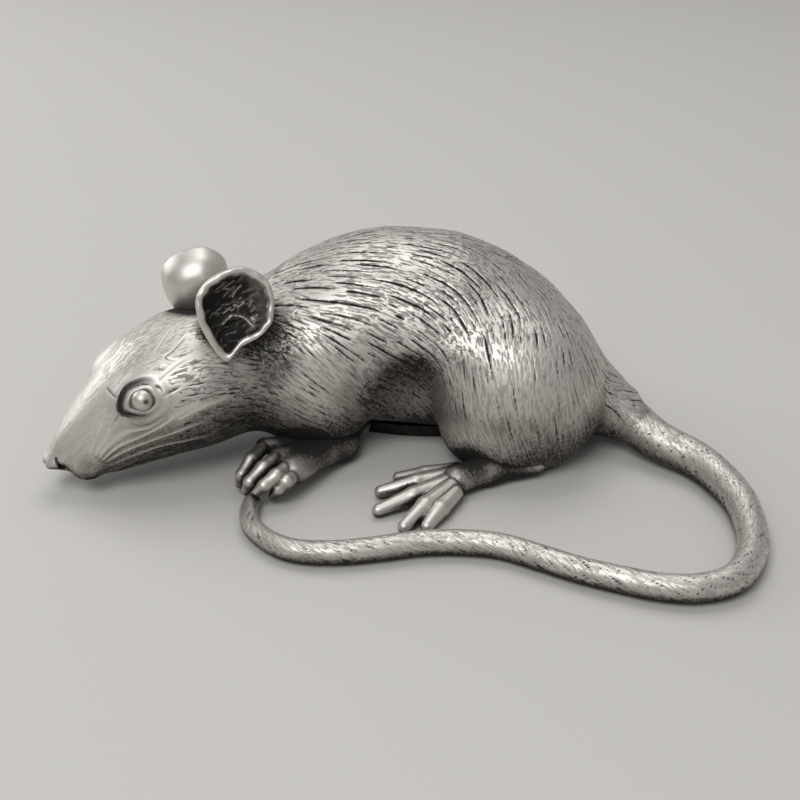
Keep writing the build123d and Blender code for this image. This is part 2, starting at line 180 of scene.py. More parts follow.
# %% Sections along an axis
def eased(values, stations, fine):
    """Values at the stations, eased through on a finer set of places with no overshoot."""
    steps = np.diff(stations)
    slopes = np.diff(values) / steps
    tangents = np.zeros(len(stations))
    tangents[0], tangents[-1] = slopes[0], slopes[-1]
    product = slopes[:-1] * slopes[1:]
    total = np.where(slopes[:-1] + slopes[1:] == 0, 1, slopes[:-1] + slopes[1:])
    tangents[1:-1] = np.where(product > 0, 2 * product / total, 0)
    k = np.clip(np.searchsorted(stations, fine) - 1, 0, len(steps) - 1)
    t = (fine - stations[k]) / steps[k]
    first = values[k] * (1 + 2 * t) * (1 - t) ** 2 + tangents[k] * steps[k] * t * (1 - t) ** 2
    second = values[k + 1] * t * t * (3 - 2 * t) + tangents[k + 1] * steps[k] * t * t * (t - 1)
    return first + second


class Loft:
    """Oval sections along an axis. Rows: station, offsets left and up, half width, above, below."""

    def __init__(self, origin, along, left, up, rows):
        rows = np.asarray(rows, float)
        self.origin = np.asarray(origin, float)
        self.axes = np.stack([along, left, up], 1)
        self.ends = rows[0, 0], rows[-1, 0]
        self.fine = np.linspace(*self.ends, 400)
        self.curves = [eased(rows[:, k], rows[:, 0], self.fine) for k in range(1, 6)]

    def __call__(self, points):
        local = (points - self.origin) @ self.axes
        station = np.clip(local[..., 0], *self.ends)
        left, up, wide, above, below = (np.interp(station, self.fine, c) for c in self.curves)
        side, rise = local[..., 1] - left, local[..., 2] - up
        high = np.where(rise > 0, above, below)
        reach = np.sqrt((side / wide) ** 2 + (rise / high) ** 2)
        slope = np.sqrt((side / wide ** 2) ** 2 + (rise / high ** 2) ** 2)
        inside = -np.minimum(wide, high)
        skin = np.where(slope > 1e-6, reach * (reach - 1) / np.maximum(slope, 1e-6), inside)
        past = np.abs(local[..., 0] - station)
        capped = np.where(skin > 0, np.hypot(skin, past), np.maximum(skin, past))
        return np.where(past > 0, capped, skin)


print("loft ready")

# %% [markdown]
# The body is a loft from the neck to the root of the tail, and the head a second loft along its own axis,
# turned 30 degrees to the left and drooping 15. With axes of its own the head can be written as if it looked
# straight ahead, and the turn is made once.

# %% Body and head
HEAD_TURN, HEAD_DROOP = math.radians(30.0), math.radians(15.0)
HEAD_BASE = np.array([-20.1, -4.2, 17.6])
HEAD_FORWARD = np.array([
    -math.cos(HEAD_TURN) * math.cos(HEAD_DROOP), -math.sin(HEAD_TURN) * math.cos(HEAD_DROOP),
    -math.sin(HEAD_DROOP),
])
HEAD_LEFT = np.array([math.sin(HEAD_TURN), -math.cos(HEAD_TURN), 0.0])
HEAD_UP = np.cross(HEAD_FORWARD, HEAD_LEFT)
HEAD_AXES = np.stack([HEAD_FORWARD, HEAD_LEFT, HEAD_UP], 1)
BODY_ROWS = [
    # station, offsets left and up, half width, height above and below
    (-27, -4.2, 17.0, 8.0, 6.0, 7.5), (-23, -3.2, 17.0, 11.0, 8.6, 10.5),
    (-16.5, -1.6, 16.6, 14.5, 13.0, 13.0), (-8, -0.3, 16.6, 16.5, 16.0, 14.6),
    (0, 0.4, 16.0, 17.2, 17.3, 14.5), (8, 0.4, 15.0, 18.0, 17.5, 13.8),
    (16.5, 0.2, 13.5, 18.2, 15.8, 12.6), (24, -1.2, 11.8, 16.4, 12.6, 10.8),
    (30, -3.8, 9.9, 12.2, 9.4, 8.6), (34.5, -6.6, 7.6, 6.8, 5.2, 6.0), (38, -9.4, 6.0, 4.0, 3.2, 4.2),
]
HEAD_ROWS = [
    (-2, 0, 0.5, 10.0, 7.0, 10.6), (4, 0, 0.8, 11.4, 7.2, 12.9), (10, 0, 1.4, 12.2, 8.4, 13.4),
    (16, 0, 1.8, 12.2, 9.3, 12.9), (22, 0, 1.6, 11.0, 9.1, 11.3), (28, 0, 0.6, 8.9, 7.8, 9.1),
    (33, 0, -0.5, 6.7, 6.0, 7.1), (37, 0, -1.3, 4.6, 4.4, 4.6), (40.2, 0, -1.6, 2.6, 2.1, 1.5),
    (41.7, 0, -1.3, 1.1, 0.7, 0.6),
]
body_loft = Loft((0, 0, 0), (1, 0, 0), (0, 1, 0), (0, 0, 1), BODY_ROWS)
head_loft = Loft(HEAD_BASE, HEAD_FORWARD, HEAD_LEFT, HEAD_UP, HEAD_ROWS)
print("head axis", HEAD_FORWARD.round(3))

# %% [markdown]
# The face is the head's loft with eggs melted onto it: brows, the roots of the ears, whisker pads and the tip
# of the nose, and the nostrils cut away. A sculptor would push and pull these by hand. As eggs with a place
# and three radii they can be set against the photograph one at a time.

# %% Face
BROW = (24.0, 5.8, 5.4), (4.8, 2.8, 2.6)
EAR_ROOT = (7.5, 6.0, 6.4), (4.4, 3.2, 2.8)
WHISKER_PAD = (36.0, 3.0, -2.9), (3.1, 2.5, 2.8)
NOSE_TIP = (40.7, 0.8, -1.4), (1.3, 1.2, 0.8)
NOSTRIL = (39.7, 2.3, -2.0), (0.9, 0.7, 0.8)
NOSTRIL_FILLET = 0.4


def on_head(along, left, up):
    """Point given in the head's own frame."""
    return HEAD_BASE + HEAD_FORWARD * along + HEAD_LEFT * left + HEAD_UP * up


def head_egg(points, centre, radii):
    """Egg along the head's axes, on both sides of it."""
    local = (points - HEAD_BASE) @ HEAD_AXES
    local[..., 1] = np.abs(local[..., 1])
    return egg(local, centre, radii)


def face(points):
    """Head with ear roots, brows, whisker pads, a nose and nostrils."""
    form = head_loft(points)
    for shape, fillet in ((BROW, 2.0), (EAR_ROOT, 2.0), (WHISKER_PAD, 0.8), (NOSE_TIP, 0.6)):
        form = melt(form, head_egg(points, *shape), fillet)
    return carve_out(form, head_egg(points, *NOSTRIL), NOSTRIL_FILLET)


print("nose at", on_head(*NOSE_TIP[0]).round(1), "mm")

# %% [markdown]
# Shoulders and haunches are eggs on the body, and the flanks between them are cut hollow. Low down, a leg
# is creased off from the belly, and higher up it flows into the back, so the fillet grows with height. The
# right haunch lies lower, because none of it shows above the back. The body, the head and the root of the
# tail then join into one form, level underneath.

# %% Trunk
FLANK_HOLLOW = (2.0, 19.5, 9.0), (7.0, 6.5, 11.0)
FLANK_FILLET = 3.0
LEFT_SHOULDER = (-13.8, -10.5, 12.0), (10.2, 9.0, 11.3)
RIGHT_SHOULDER = (-13.0, 10.0, 12.5), (9.8, 8.6, 11.0)
LEFT_HAUNCH = (19.0, -12.6, 11.0), (13.6, 10.8, 13.6)
LOWER_HAUNCH = (15.5, -15.2, 6.0), (8.5, 7.6, 6.0)
RIGHT_HAUNCH = (17.0, 9.5, 10.5), (12.4, 11.2, 11.6)
FLOW_HEIGHTS, FLOW_FILLETS = (11.0, 21.0), (1.2, 5.0)
LOWER_FILLET, NECK_FILLET, TAIL_FILLET = 2.0, 4.0, 4.0
UNDERSIDE = 0.05
TAIL_ROUTE = [
    (32.6, -6.4, 7.2), (37.2, -10.6, 5.5), (41.5, -15.0, 4.0), (47.5, -20.2, 3.1), (51.2, -28.6, 2.7),
    (51.7, -36.6, 2.5), (50.3, -43.2, 2.4), (46.8, -48.8, 2.3), (41.5, -50.9, 2.2), (36.0, -50.5, 2.1),
    (30.7, -48.7, 2.05), (25.4, -46.5, 2.0), (20.0, -43.6, 2.0), (14.5, -40.9, 2.0), (8.7, -40.0, 2.0),
    (2.9, -40.2, 2.0), (-2.9, -41.4, 1.95), (-8.6, -42.3, 1.9), (-14.4, -42.0, 1.85), (-18.4, -40.0, 1.75),
    (-21.8, -35.9, 1.6), (-22.9, -31.4, 1.5), (-22.4, -27.6, 1.5),
]
TAIL_ROOT_RADII = [3.8, 3.3, 2.5]


def trunk(points):
    """Body with hollow flanks, shoulders and haunches that crease low down and flow in higher up."""
    form = body_loft(points)
    centre, radii = FLANK_HOLLOW
    for side in (-1, 1):
        form = carve_out(form, egg(points, np.array(centre) * (1, side, 1), radii), FLANK_FILLET)
    flow = np.interp(points[..., 2], FLOW_HEIGHTS, FLOW_FILLETS)
    for shape, fillet in (
        (LEFT_SHOULDER, flow), (RIGHT_SHOULDER, flow), (LEFT_HAUNCH, flow), (LOWER_HAUNCH, LOWER_FILLET),
        (RIGHT_HAUNCH, flow),
    ):
        form = melt(form, egg(points, *shape), fillet)
    return form


def animal(points):
    """Body and head as one form, without legs, ears and tail."""
    form = melt(trunk(points), face(points), NECK_FILLET)
    form = melt(form, limb(points, TAIL_ROUTE[:3], TAIL_ROOT_RADII), TAIL_FILLET)
    return np.maximum(form, UNDERSIDE - points[..., 2])


print("middle of the body lies inside:", bool(animal(np.array([[0.0, 0.0, 15.0]]))[0] < 0))

# %% [markdown]
# To become a mesh, a form has to be measured on a grid. Most cells are far from the surface, so the form is
# first measured coarsely, and only the near cells are measured again at the fine step. Metaballs and the
# remesh modifier do something like this, but they can't take a form that is written as a function.

# %% Measuring a form
COARSE = 4


def measured(form, points, batch=150000):
    """The form's distances, a batch of points at a time."""
    return np.concatenate([form(points[k:k + batch]) for k in range(0, len(points), batch)])


def doubled_up(values, axis):
    """Grid values filled in along one axis by straight interpolation."""
    count = values.shape[axis]
    places = np.arange((count - 1) * COARSE + 1) / COARSE
    low = np.minimum(places.astype(int), count - 2)
    shape = [1, 1, 1]
    shape[axis] = -1
    share = (places - low).reshape(shape)
    return np.take(values, low, axis) * (1 - share) + np.take(values, low + 1, axis) * share


def distance_grid(form, low, high, step):
    """Distances on a fine grid, exact near the surface."""
    low = np.asarray(low, float)
    big = step * COARSE
    counts = np.ceil((np.asarray(high, float) - low) / big).astype(int) + 1
    spots = np.stack(np.meshgrid(*[np.arange(n) for n in counts], indexing="ij"), -1).reshape(-1, 3)
    grid = measured(form, low + spots * big).reshape(counts)
    for axis in range(3):
        grid = doubled_up(grid, axis)
    near = np.argwhere(np.abs(grid) < big * 1.1)
    grid[tuple(near.T)] = measured(form, low + near * step)
    return grid


print("one fine cell in", COARSE ** 3, "is measured at first")

# %% [markdown]
# A surface net turns the measured grid into quads: one corner in each cell that the surface crosses, at the
# middle of the crossings on the cell's edges. Its quads are evener than the triangles of marching cubes,
# which matters here because the fur is carved by moving their corners.

# %% Surface net
CORNERS = np.array([(x, y, z) for z in (0, 1) for y in (0, 1) for x in (0, 1)])
EDGES = [(0, 1), (2, 3), (4, 5), (6, 7), (0, 2), (1, 3), (4, 6), (5, 7), (0, 4), (1, 5), (2, 6), (3, 7)]


def surface_net(form, low, high, step):
    """Corners and quads of the surface inside a box."""
    grid = distance_grid(form, low, high, step)
    inside = grid < 0
    size = np.array(grid.shape)
    count = sum(
        inside[x:size[0] - 1 + x, y:size[1] - 1 + y, z:size[2] - 1 + z].astype(np.int8) for x, y, z in CORNERS
    )
    cells = np.argwhere((count > 0) & (count < 8))
    number = np.full(count.shape, -1)
    number[tuple(cells.T)] = np.arange(len(cells))
    values = [grid[tuple((cells + corner).T)] for corner in CORNERS]
    total, crossings = np.zeros((len(cells), 3)), np.zeros(len(cells))
    for a, b in EDGES:
        crosses = (values[a] < 0) != (values[b] < 0)
        share = np.where(crosses, values[a] / np.where(values[a] == values[b], 1, values[a] - values[b]), 0)
        total += np.where(crosses[:, None], CORNERS[a] + share[:, None] * (CORNERS[b] - CORNERS[a]), 0)
        crossings += crosses
    corners = (cells + total / crossings[:, None]) * step + np.asarray(low, float)
    quads = []
    for axis in range(3):
        first, second = [np.moveaxis(inside, axis, 0)[s] for s in (slice(0, -1), slice(1, None))]
        spots = np.argwhere(np.moveaxis(first != second, 0, axis))
        one, two = [(1, 2), (2, 0), (0, 1)][axis]
        spots = spots[(spots[:, one] > 0) & (spots[:, two] > 0)]
        ring = []
        for back_one, back_two in ((1, 1), (0, 1), (0, 0), (1, 0)):
            cell = spots.copy()
            cell[:, one] -= back_one
            cell[:, two] -= back_two
            ring.append(number[tuple(cell.T)])
        ring = np.stack(ring, 1)
        outward = inside[tuple(spots.T)]
        ring[~outward] = ring[~outward][:, ::-1]
        quads.append(ring)
    return corners, np.concatenate(quads)


print("a cell has", len(EDGES), "edges")

# %% [markdown]
# The net is split finer and its corners are drawn back onto the form, which takes out the last unevenness
# of the grid. A subdivision surface would smooth too, but it would also shrink the nose and the brows.

# %% Skin
def corner_normals(corners, quads):
    """Unit normals at the corners, from the quads round them."""
    faces = np.cross(corners[quads[:, 2]] - corners[quads[:, 0]], corners[quads[:, 3]] - corners[quads[:, 1]])
    normals = np.zeros_like(corners)
    for k in range(4):
        for axis in range(3):
            normals[:, axis] += np.bincount(quads[:, k], faces[:, axis], len(corners))
    return normals / np.maximum(np.linalg.norm(normals, axis=1, keepdims=True), 1e-12)


def split_quads(corners, quads):
    """Each quad cut into four."""
    edges = np.sort(np.concatenate([quads[:, [k, (k + 1) % 4]] for k in range(4)]), 1)
    unique, where = np.unique(edges, axis=0, return_inverse=True)
    where = where.reshape(4, -1).T + len(corners)
    middles = np.arange(len(quads)) + len(corners) + len(unique)
    points = np.concatenate([corners, corners[unique].mean(1), corners[quads].mean(1)])
    parts = [
        np.stack([quads[:, k], where[:, k], middles, where[:, (k + 3) % 4]], 1) for k in range(4)
    ]
    return points, np.concatenate(parts)


def skin(form, low, high, step, finer):
    """A form's surface, split finer if asked and drawn back onto the form."""
    corners, quads = surface_net(form, low, high, step)
    for _ in range(finer):
        corners, quads = split_quads(corners, quads)
    for _ in range(2):
        normals = corner_normals(corners, quads)
        corners = corners - normals * np.clip(measured(form, corners), -step, step)[:, None]
    return corners, quads


STEP = 0.46 if FINE else 0.8
BODY_BOX = (-58, -29, -0.9), (46, 24, 36)
body_corners, body_quads = skin(animal, *BODY_BOX, STEP, 1 if FINE else 0)
print("skin", len(body_corners), "corners", len(body_quads), "quads")

# %% [markdown]
# Where a line of the face or a tuft of fur belongs is read off the photograph as a pixel, and the camera's
# ray through that pixel meets the skin in the right place. The far side, which the photograph hides, takes
# the mirror image: through the middle of the body, or through the middle of the turned head.

# %% From a pixel to the skin
skin_tree = bvhtree.BVHTree.FromPolygons(body_corners.tolist(), body_quads.tolist())
BODY_MIRROR = (np.zeros(3), np.array([0.0, 1.0, 0.0]))
HEAD_MIRROR = (HEAD_BASE, HEAD_LEFT)
HAUNCH_PIXEL = (560, 400)


def under_pixel(column, row):
    """Point of the skin that shows at a pixel, or None."""
    hit = skin_tree.ray_cast(Vector(eye_point), Vector(pixel_ray(column, row)))[0]
    return None if hit is None else np.array(hit)


def mirrored(points, mirror):
    """Points on the other side of a mirror plane."""
    place, normal = mirror
    points = np.asarray(points, float)
    return points - 2 * ((points - place) @ normal)[..., None] * normal


def mirrored_ways(ways, mirror):
    """Directions on the other side of a mirror plane."""
    return mirrored(np.asarray(ways) + mirror[0], mirror) - mirror[0]


def laid_flat(ways, normals):
    """Ways turned into the surface, at unit length."""
    flat = ways - normals * (ways * normals).sum(1, keepdims=True)
    return flat / np.maximum(np.linalg.norm(flat, axis=1, keepdims=True), 1e-9)


print("back of the haunch", under_pixel(*HAUNCH_PIXEL).round(1))

# %% [markdown]
# The eye lies in an almond: a bowl for the bead, a raised lid round it, and a crease that is deepest
# towards the nose. It could be sculpted with a crease brush. Here each ring is a bump or a dip at its own
# distance from the middle, measured in an oval that is longer from corner to corner, so the same few numbers
# serve both eyes. The right one gets a weaker relief through the head's mirror, because it isn't seen.

# %% Eye sockets
EYE_PIXEL = (142, 401)
EYE_CORNER_PIXELS = (118, 408), (166, 395)
ALMOND = 3.8, 3.1
DEEPEST = math.radians(148)
FAR_EYE_SHARE = 0.15
# ring, width, height or depth in mm
CREASE = 0.92, 0.16, 0.55
LID = 0.66, 0.12, 0.15
SWELL = 1.0, 0.2, 0.2
BOWL = 0.52, 0.12, 0.4
OFF_THE_FACE, NO_RING = 4.5, 9.0
eye_spot = under_pixel(*EYE_PIXEL)
front_corner, rear_corner = (under_pixel(*pixel) for pixel in EYE_CORNER_PIXELS)
eye_out = np.array(skin_tree.ray_cast(Vector(eye_point), Vector(pixel_ray(*EYE_PIXEL)))[1])
eye_back = laid_flat((rear_corner - front_corner)[None], eye_out[None])[0]
eye_rise = np.cross(eye_back, eye_out)
eye_rise *= math.copysign(1, eye_rise[2])


def dip(value, middle, width):
    """A smooth bump of height 1."""
    return np.exp(-((value - middle) / width) ** 2)


def eye_relief(points):
    """Height and darkness round the left eye."""
    local = points - eye_spot
    along, across = local @ eye_back / ALMOND[0], local @ eye_rise / ALMOND[1]
    turn = np.arctan2(across, along)
    ring = np.hypot(along, across) * (1 + 0.05 * np.sin(3 * turn + 1) + 0.03 * np.sin(5 * turn))
    ring = np.where(np.abs(local @ eye_out) > OFF_THE_FACE, NO_RING, ring)
    front = 0.5 + 0.5 * np.cos(turn - DEEPEST)
    crease = dip(ring, *CREASE[:2]) * front ** 1.3
    height = LID[2] * dip(ring, *LID[:2]) - CREASE[2] * crease
    height += SWELL[2] * dip(ring, *SWELL[:2]) * (1 - front)
    height -= BOWL[2] * np.clip((BOWL[0] - ring) / BOWL[1], 0, 1)
    return height, 0.13 * crease + 0.07 * dip(ring, 0.49, 0.06) + 0.035 * dip(ring, 0.72, 0.14)


body_dark = np.zeros(len(body_corners))
for points, way, share in (
    (body_corners, eye_out, 1.0),
    (mirrored(body_corners, HEAD_MIRROR), mirrored_ways(eye_out, HEAD_MIRROR), FAR_EYE_SHARE),
):
    height, dark = eye_relief(points)
    body_corners = body_corners + share * height[:, None] * way
    body_dark += share * dark
body_normals = corner_normals(body_corners, body_quads)
print("eye at", eye_spot.round(1))

# %% [markdown]
# The mouth, the whisker lines and the creases of the face are drawn one by one: each is a short row of
# pixels, smoothed, cast onto the skin and carved like a stroke of fur. Painting them in a bump texture would
# be quicker, but a casting's lines are real relief that shows in its outline. Chance scratches stay on the
# side that shows them.

# %% Lines of the face
FACE_LINES = {
    # name: half width, depth or raised height, pixels from front to back
    "mouth": (0.30, 0.45, [
        (84, 479), (100, 477), (114, 473), (132, 465), (149, 460), (170, 456), (190, 452),
    ]),
    "tear line": (0.34, 0.07, [(121, 408), (116, 419), (110, 430)]),
    "rear corner": (0.26, 0.12, [(163, 397), (170, 392), (182, 386)]),
    "brow crease": (0.40, 0.05, [(157, 383), (166, 374), (180, 363), (198, 353)]),
    "upper lid": (0.18, 0.14, [(129, 391), (135, 386), (145, 384), (152, 384)]),
    "outer lid": (0.18, 0.14, [(155, 385), (161, 389), (164, 395)]),
    "rear lid": (0.18, 0.12, [(149, 413), (157, 408), (161, 400)]),
    "lower lid": (0.18, 0.14, [(126, 411), (135, 416), (147, 416)]),
    "lid line": (0.24, 0.07, [(126, 421), (140, 426), (154, 421), (166, 410), (178, 398)]),
    "first whisker": (0.20, -0.16, [(91, 452), (94, 440), (101, 424)]),
    "second whisker": (0.20, -0.16, [(95, 456), (103, 440), (115, 423)]),
    "third whisker": (0.20, -0.17, [(98, 459), (111, 443), (127, 432), (148, 428), (166, 417)]),
    "fourth whisker": (0.20, -0.17, [(101, 461), (118, 447), (140, 437), (160, 427), (178, 415), (198, 404)]),
    "fifth whisker": (0.20, -0.16, [(104, 463), (125, 451), (150, 441), (176, 432), (208, 420)]),
    "sixth whisker": (0.20, -0.15, [(108, 466), (132, 456), (160, 446), (188, 440), (214, 434)]),
    "under first": (0.20, 0.05, [(93, 454), (98, 440), (107, 425)]),
    "under third": (0.20, 0.06, [(100, 460), (114, 446), (132, 435), (152, 428), (172, 416)]),
    "under fourth": (0.20, 0.06, [(103, 462), (121, 449), (145, 439), (166, 430), (190, 416)]),
    "under fifth": (0.20, 0.05, [(106, 465), (128, 454), (155, 444), (182, 436), (212, 427)]),
    "cheek fold": (0.22, -0.16, [(178, 421), (190, 414), (206, 406), (228, 398)]),
    "first scratch": (0.14, 0.08, [(172, 328), (162, 343), (153, 357)]),
    "second scratch": (0.16, 0.10, [(188, 335), (174, 350), (165, 358), (178, 361)]),
    "nick": (0.28, 0.09, [(106, 387), (112, 394), (118, 400)]),
    "nostril": (0.34, 0.25, [(55, 457), (58, 464), (66, 470)]),
}
NEAR_ONLY = "nick", "first scratch", "second scratch"


def between_points(before, here, there, after, t):
    """A point from here to there, on the smooth curve through all four."""
    return here + 0.5 * t * (there - before + t * (2 * before - 5 * here + 4 * there - after
                                                   + t * (3 * (here - there) + after - before)))


def open_curve(points, per_span):
    """Smooth open curve through points."""
    points = np.asarray(points, float)
    points = np.concatenate([[2 * points[0] - points[1]], points, [2 * points[-1] - points[-2]]])
    curve = []
    for k in range(1, len(points) - 2):
        for t in np.arange(per_span) / per_span:
            curve.append(between_points(*points[k - 1:k + 3], t))
    return np.array(curve + [points[-2]])


def drawn_line(pixels):
    """A row of pixels as a smooth line on the skin."""
    hits = [under_pixel(*pixel) for pixel in open_curve(pixels, 24)]
    return np.array([hit for hit in hits if hit is not None])


face_strokes = []
for name, (half_width, depth, pixels) in FACE_LINES.items():
    line = drawn_line(pixels)
    for side in (line,) if name in NEAR_ONLY else (line, mirrored(line, HEAD_MIRROR)):
        ways = np.gradient(side, axis=0)
        ways /= np.maximum(np.linalg.norm(ways, axis=1, keepdims=True), 1e-9)
        face_strokes.append((side, ways, half_width, depth))
print("face lines", len(FACE_LINES))

# %% [markdown]
# The fur lies back from the ears, runs level along the back and turns down over the haunch. Guide strokes
# give that lie at chosen pixels: column, row, and the way the stroke runs, right and down. Every corner of
# the skin takes a mix of the guides near it, laid flat on the surface.

# %% The lie of the fur
BODY_STROKES = [
    (285, 300, 10, -1), (300, 262, 10, -3), (330, 280, 10, 0), (330, 305, 10, 1), (300, 320, 9, 4),
    (350, 245, 10, -1), (375, 275, 10, 1), (365, 305, 10, 2), (400, 245, 10, 1), (410, 270, 10, 3),
    (400, 310, 10, 4), (430, 245, 10, 2), (440, 275, 9, 4), (440, 310, 8, 6), (460, 255, 9, 4),
    (470, 285, 7, 7), (465, 320, 5, 9), (490, 270, 7, 7), (490, 305, 4, 9), (485, 340, 2, 10),
    (520, 285, 6, 8), (515, 330, 1, 10), (545, 310, 4, 9), (550, 350, 1, 10), (575, 330, 4, 9),
    (590, 360, 4, 9), (605, 390, 6, 8), (465, 370, 1, 10), (455, 400, 1, 10), (450, 425, 3, 9),
    (500, 380, 1, 10), (480, 440, 4, 9), (520, 420, 2, 10), (550, 390, 0, 10), (560, 430, 1, 10),
    (590, 405, 2, 10), (530, 455, 4, 9), (600, 425, 8, 5), (310, 345, 7, 7), (290, 370, 8, 6),
    (330, 370, 7, 7), (300, 400, 9, 5), (340, 400, 8, 6), (365, 385, 8, 7), (320, 425, 9, 3),
    (355, 420, 8, 5), (400, 345, 8, 5), (400, 380, 9, 4), (270, 340, 9, 5), (250, 370, 10, 1),
    (255, 400, 10, 2), (380, 330, 9, 5), (425, 335, 8, 6), (425, 370, 7, 7),
]
HEAD_STROKES = [
    (110, 440, 9, -5), (140, 445, 10, -3), (175, 430, 10, -3), (205, 415, 10, -3), (190, 385, 10, -2),
    (215, 390, 10, -1), (150, 350, 9, -4), (180, 330, 9, -4), (95, 400, 7, -7), (70, 450, 7, -7),
    (225, 425, 10, -2), (180, 360, 10, -3), (130, 340, 8, -5),
]
STROKE_SHARE = 0.5


def guides(strokes, mirror):
    """Places and ways of the guide strokes on both sides."""
    places, ways = [], []
    for column, row, right, down in strokes:
        half = np.array([right, down]) * STROKE_SHARE
        start = under_pixel(column - half[0], row - half[1])
        end = under_pixel(column + half[0], row + half[1])
        if start is None or end is None:
            continue
        places.append((start + end) / 2)
        ways.append((end - start) / np.linalg.norm(end - start))
    places, ways = np.array(places), np.array(ways)
    return (np.concatenate([places, mirrored(places, mirror)]),
            np.concatenate([ways, mirrored_ways(ways, mirror)]))


body_guides, head_guides = guides(BODY_STROKES, BODY_MIRROR), guides(HEAD_STROKES, HEAD_MIRROR)
guide_places = np.concatenate([body_guides[0], head_guides[0]])
guide_ways = np.concatenate([body_guides[1], head_guides[1]])


def lie_of_fur(corners, normals, batch=20000):
    """The way the fur lies at each corner."""
    ways = []
    for k in range(0, len(corners), batch):
        gaps = np.linalg.norm(corners[k:k + batch, None] - guide_places, axis=2)
        ways.append((1 / (gaps + 1.5) ** 4) @ guide_ways)
    return laid_flat(np.concatenate(ways), normals)


body_lie = lie_of_fur(body_corners, body_normals)
print("guide strokes", len(guide_places))

# %% [markdown]
# The engraver cut the coat stroke by stroke: long and deep along the back, short on the shoulder and the
# haunch, and no more than a prick on the flank. A hair system could stand for fur, but these are cuts in
# metal, so each one is carved into the skin. A zone is a soft-edged ball with a depth, length, spacing and
# width of its own.

# %% Zones of the coat
ZONES = {
    # name: centre, reach, spacing, length, half width, depth
    "back": ((0.0, -4.0, 30.0), 17.0, 1.20, 11.0, 0.17, 0.26),
    "rump": ((27.0, -4.0, 22.0), 11.0, 1.05, 7.0, 0.15, 0.16),
    "shoulder": ((-13.0, -18.0, 13.0), 9.5, 0.75, 5.0, 0.14, 0.12),
    "haunch": ((20.0, -22.0, 13.0), 11.0, 0.85, 6.5, 0.14, 0.12),
    "flank": ((3.0, -17.0, 12.0), 7.0, 0.70, 1.8, 0.16, 0.13),
    "belly": ((4.0, 0.0, 2.0), 14.0, 1.05, 2.0, 0.20, 0.15),
    "neck": ((-22.0, -14.0, 15.0), 8.0, 0.70, 1.8, 0.18, 0.18),
    "cheek": (on_head(15, 11, -2), 11.0, 0.60, 3.4, 0.13, 0.15),
    "crown": (on_head(14, 0, 11), 11.0, 1.3, 2.4, 0.14, 0.06),
    "snout": (on_head(33, 0, 0), 10.0, 1.3, 1.6, 0.13, 0.03),
}
ZONE_KEYS = ("spacing", "length", "half_width", "depth")
HEAD_ZONES = ("cheek", "crown", "snout")


def coat(corners):
    """Stroke sizes at each corner, mixed from the zones."""
    total, mix = np.zeros(len(corners)), {key: np.zeros(len(corners)) for key in ZONE_KEYS}
    for name, (centre, reach, *sizes) in ZONES.items():
        mirror = HEAD_MIRROR if name in HEAD_ZONES else BODY_MIRROR
        for middle in (np.asarray(centre), mirrored(centre, mirror)):
            weight = 1 / (1e-3 + (np.linalg.norm(corners - middle, axis=1) / reach) ** 6)
            total += weight
            for key, size in zip(ZONE_KEYS, sizes):
                mix[key] += weight * size
    return {key: value / total for key, value in mix.items()}


body_coat = coat(body_corners)
print("stroke spacing", body_coat["spacing"].min().round(2), "to", body_coat["spacing"].max().round(2), "mm")

# %% [markdown]
# A cut of the graver is wide and deep in the middle and runs out at both ends. It is kept as samples along
# its line, each with a place, a way, a half width and a depth, because carving then only has to find the
# nearest sample. A search tree makes that fast.

# %% Strokes
RUN_OUT = 0.7


def tree_of(points):
    """Search tree over points."""
    tree = kdtree.KDTree(len(points))
    for k, point in enumerate(points):
        tree.insert(point, k)
    tree.balance()
    return tree


class Strokes:
    """Samples along all strokes: place, way, half width, and depth that tapers at both ends."""

    def __init__(self):
        self.places, self.ways, self.widths, self.depths = [], [], [], []

    def add(self, places, ways, width, depth, taper):
        share = np.linspace(0, 1, len(places))
        ends = np.clip(share / taper[0], 0, 1) * np.clip((1 - share) / taper[1], 0, 1)
        self.places.extend(places)
        self.ways.extend(ways)
        self.widths.extend(np.broadcast_to(width, len(places)))
        self.depths.extend(depth * ends ** RUN_OUT)


print("strokes ready")

# %% [markdown]
# Strokes start at random corners and follow the fur both ways. A stroke stops when it has its length, or
# when it comes too near an older one, and that is what keeps hand-cut lines side by side and uncrossed. A
# pattern texture wouldn't follow the body's turns like this.

# %% Combing
PACE = 0.3
CELL = 1.3
KEEP_APART = 0.72
CUT_TAPER = (0.25, 0.45)


def cell_of(point):
    """The search cell that a point lies in."""
    return int(point.x // CELL), int(point.y // CELL), int(point.z // CELL)


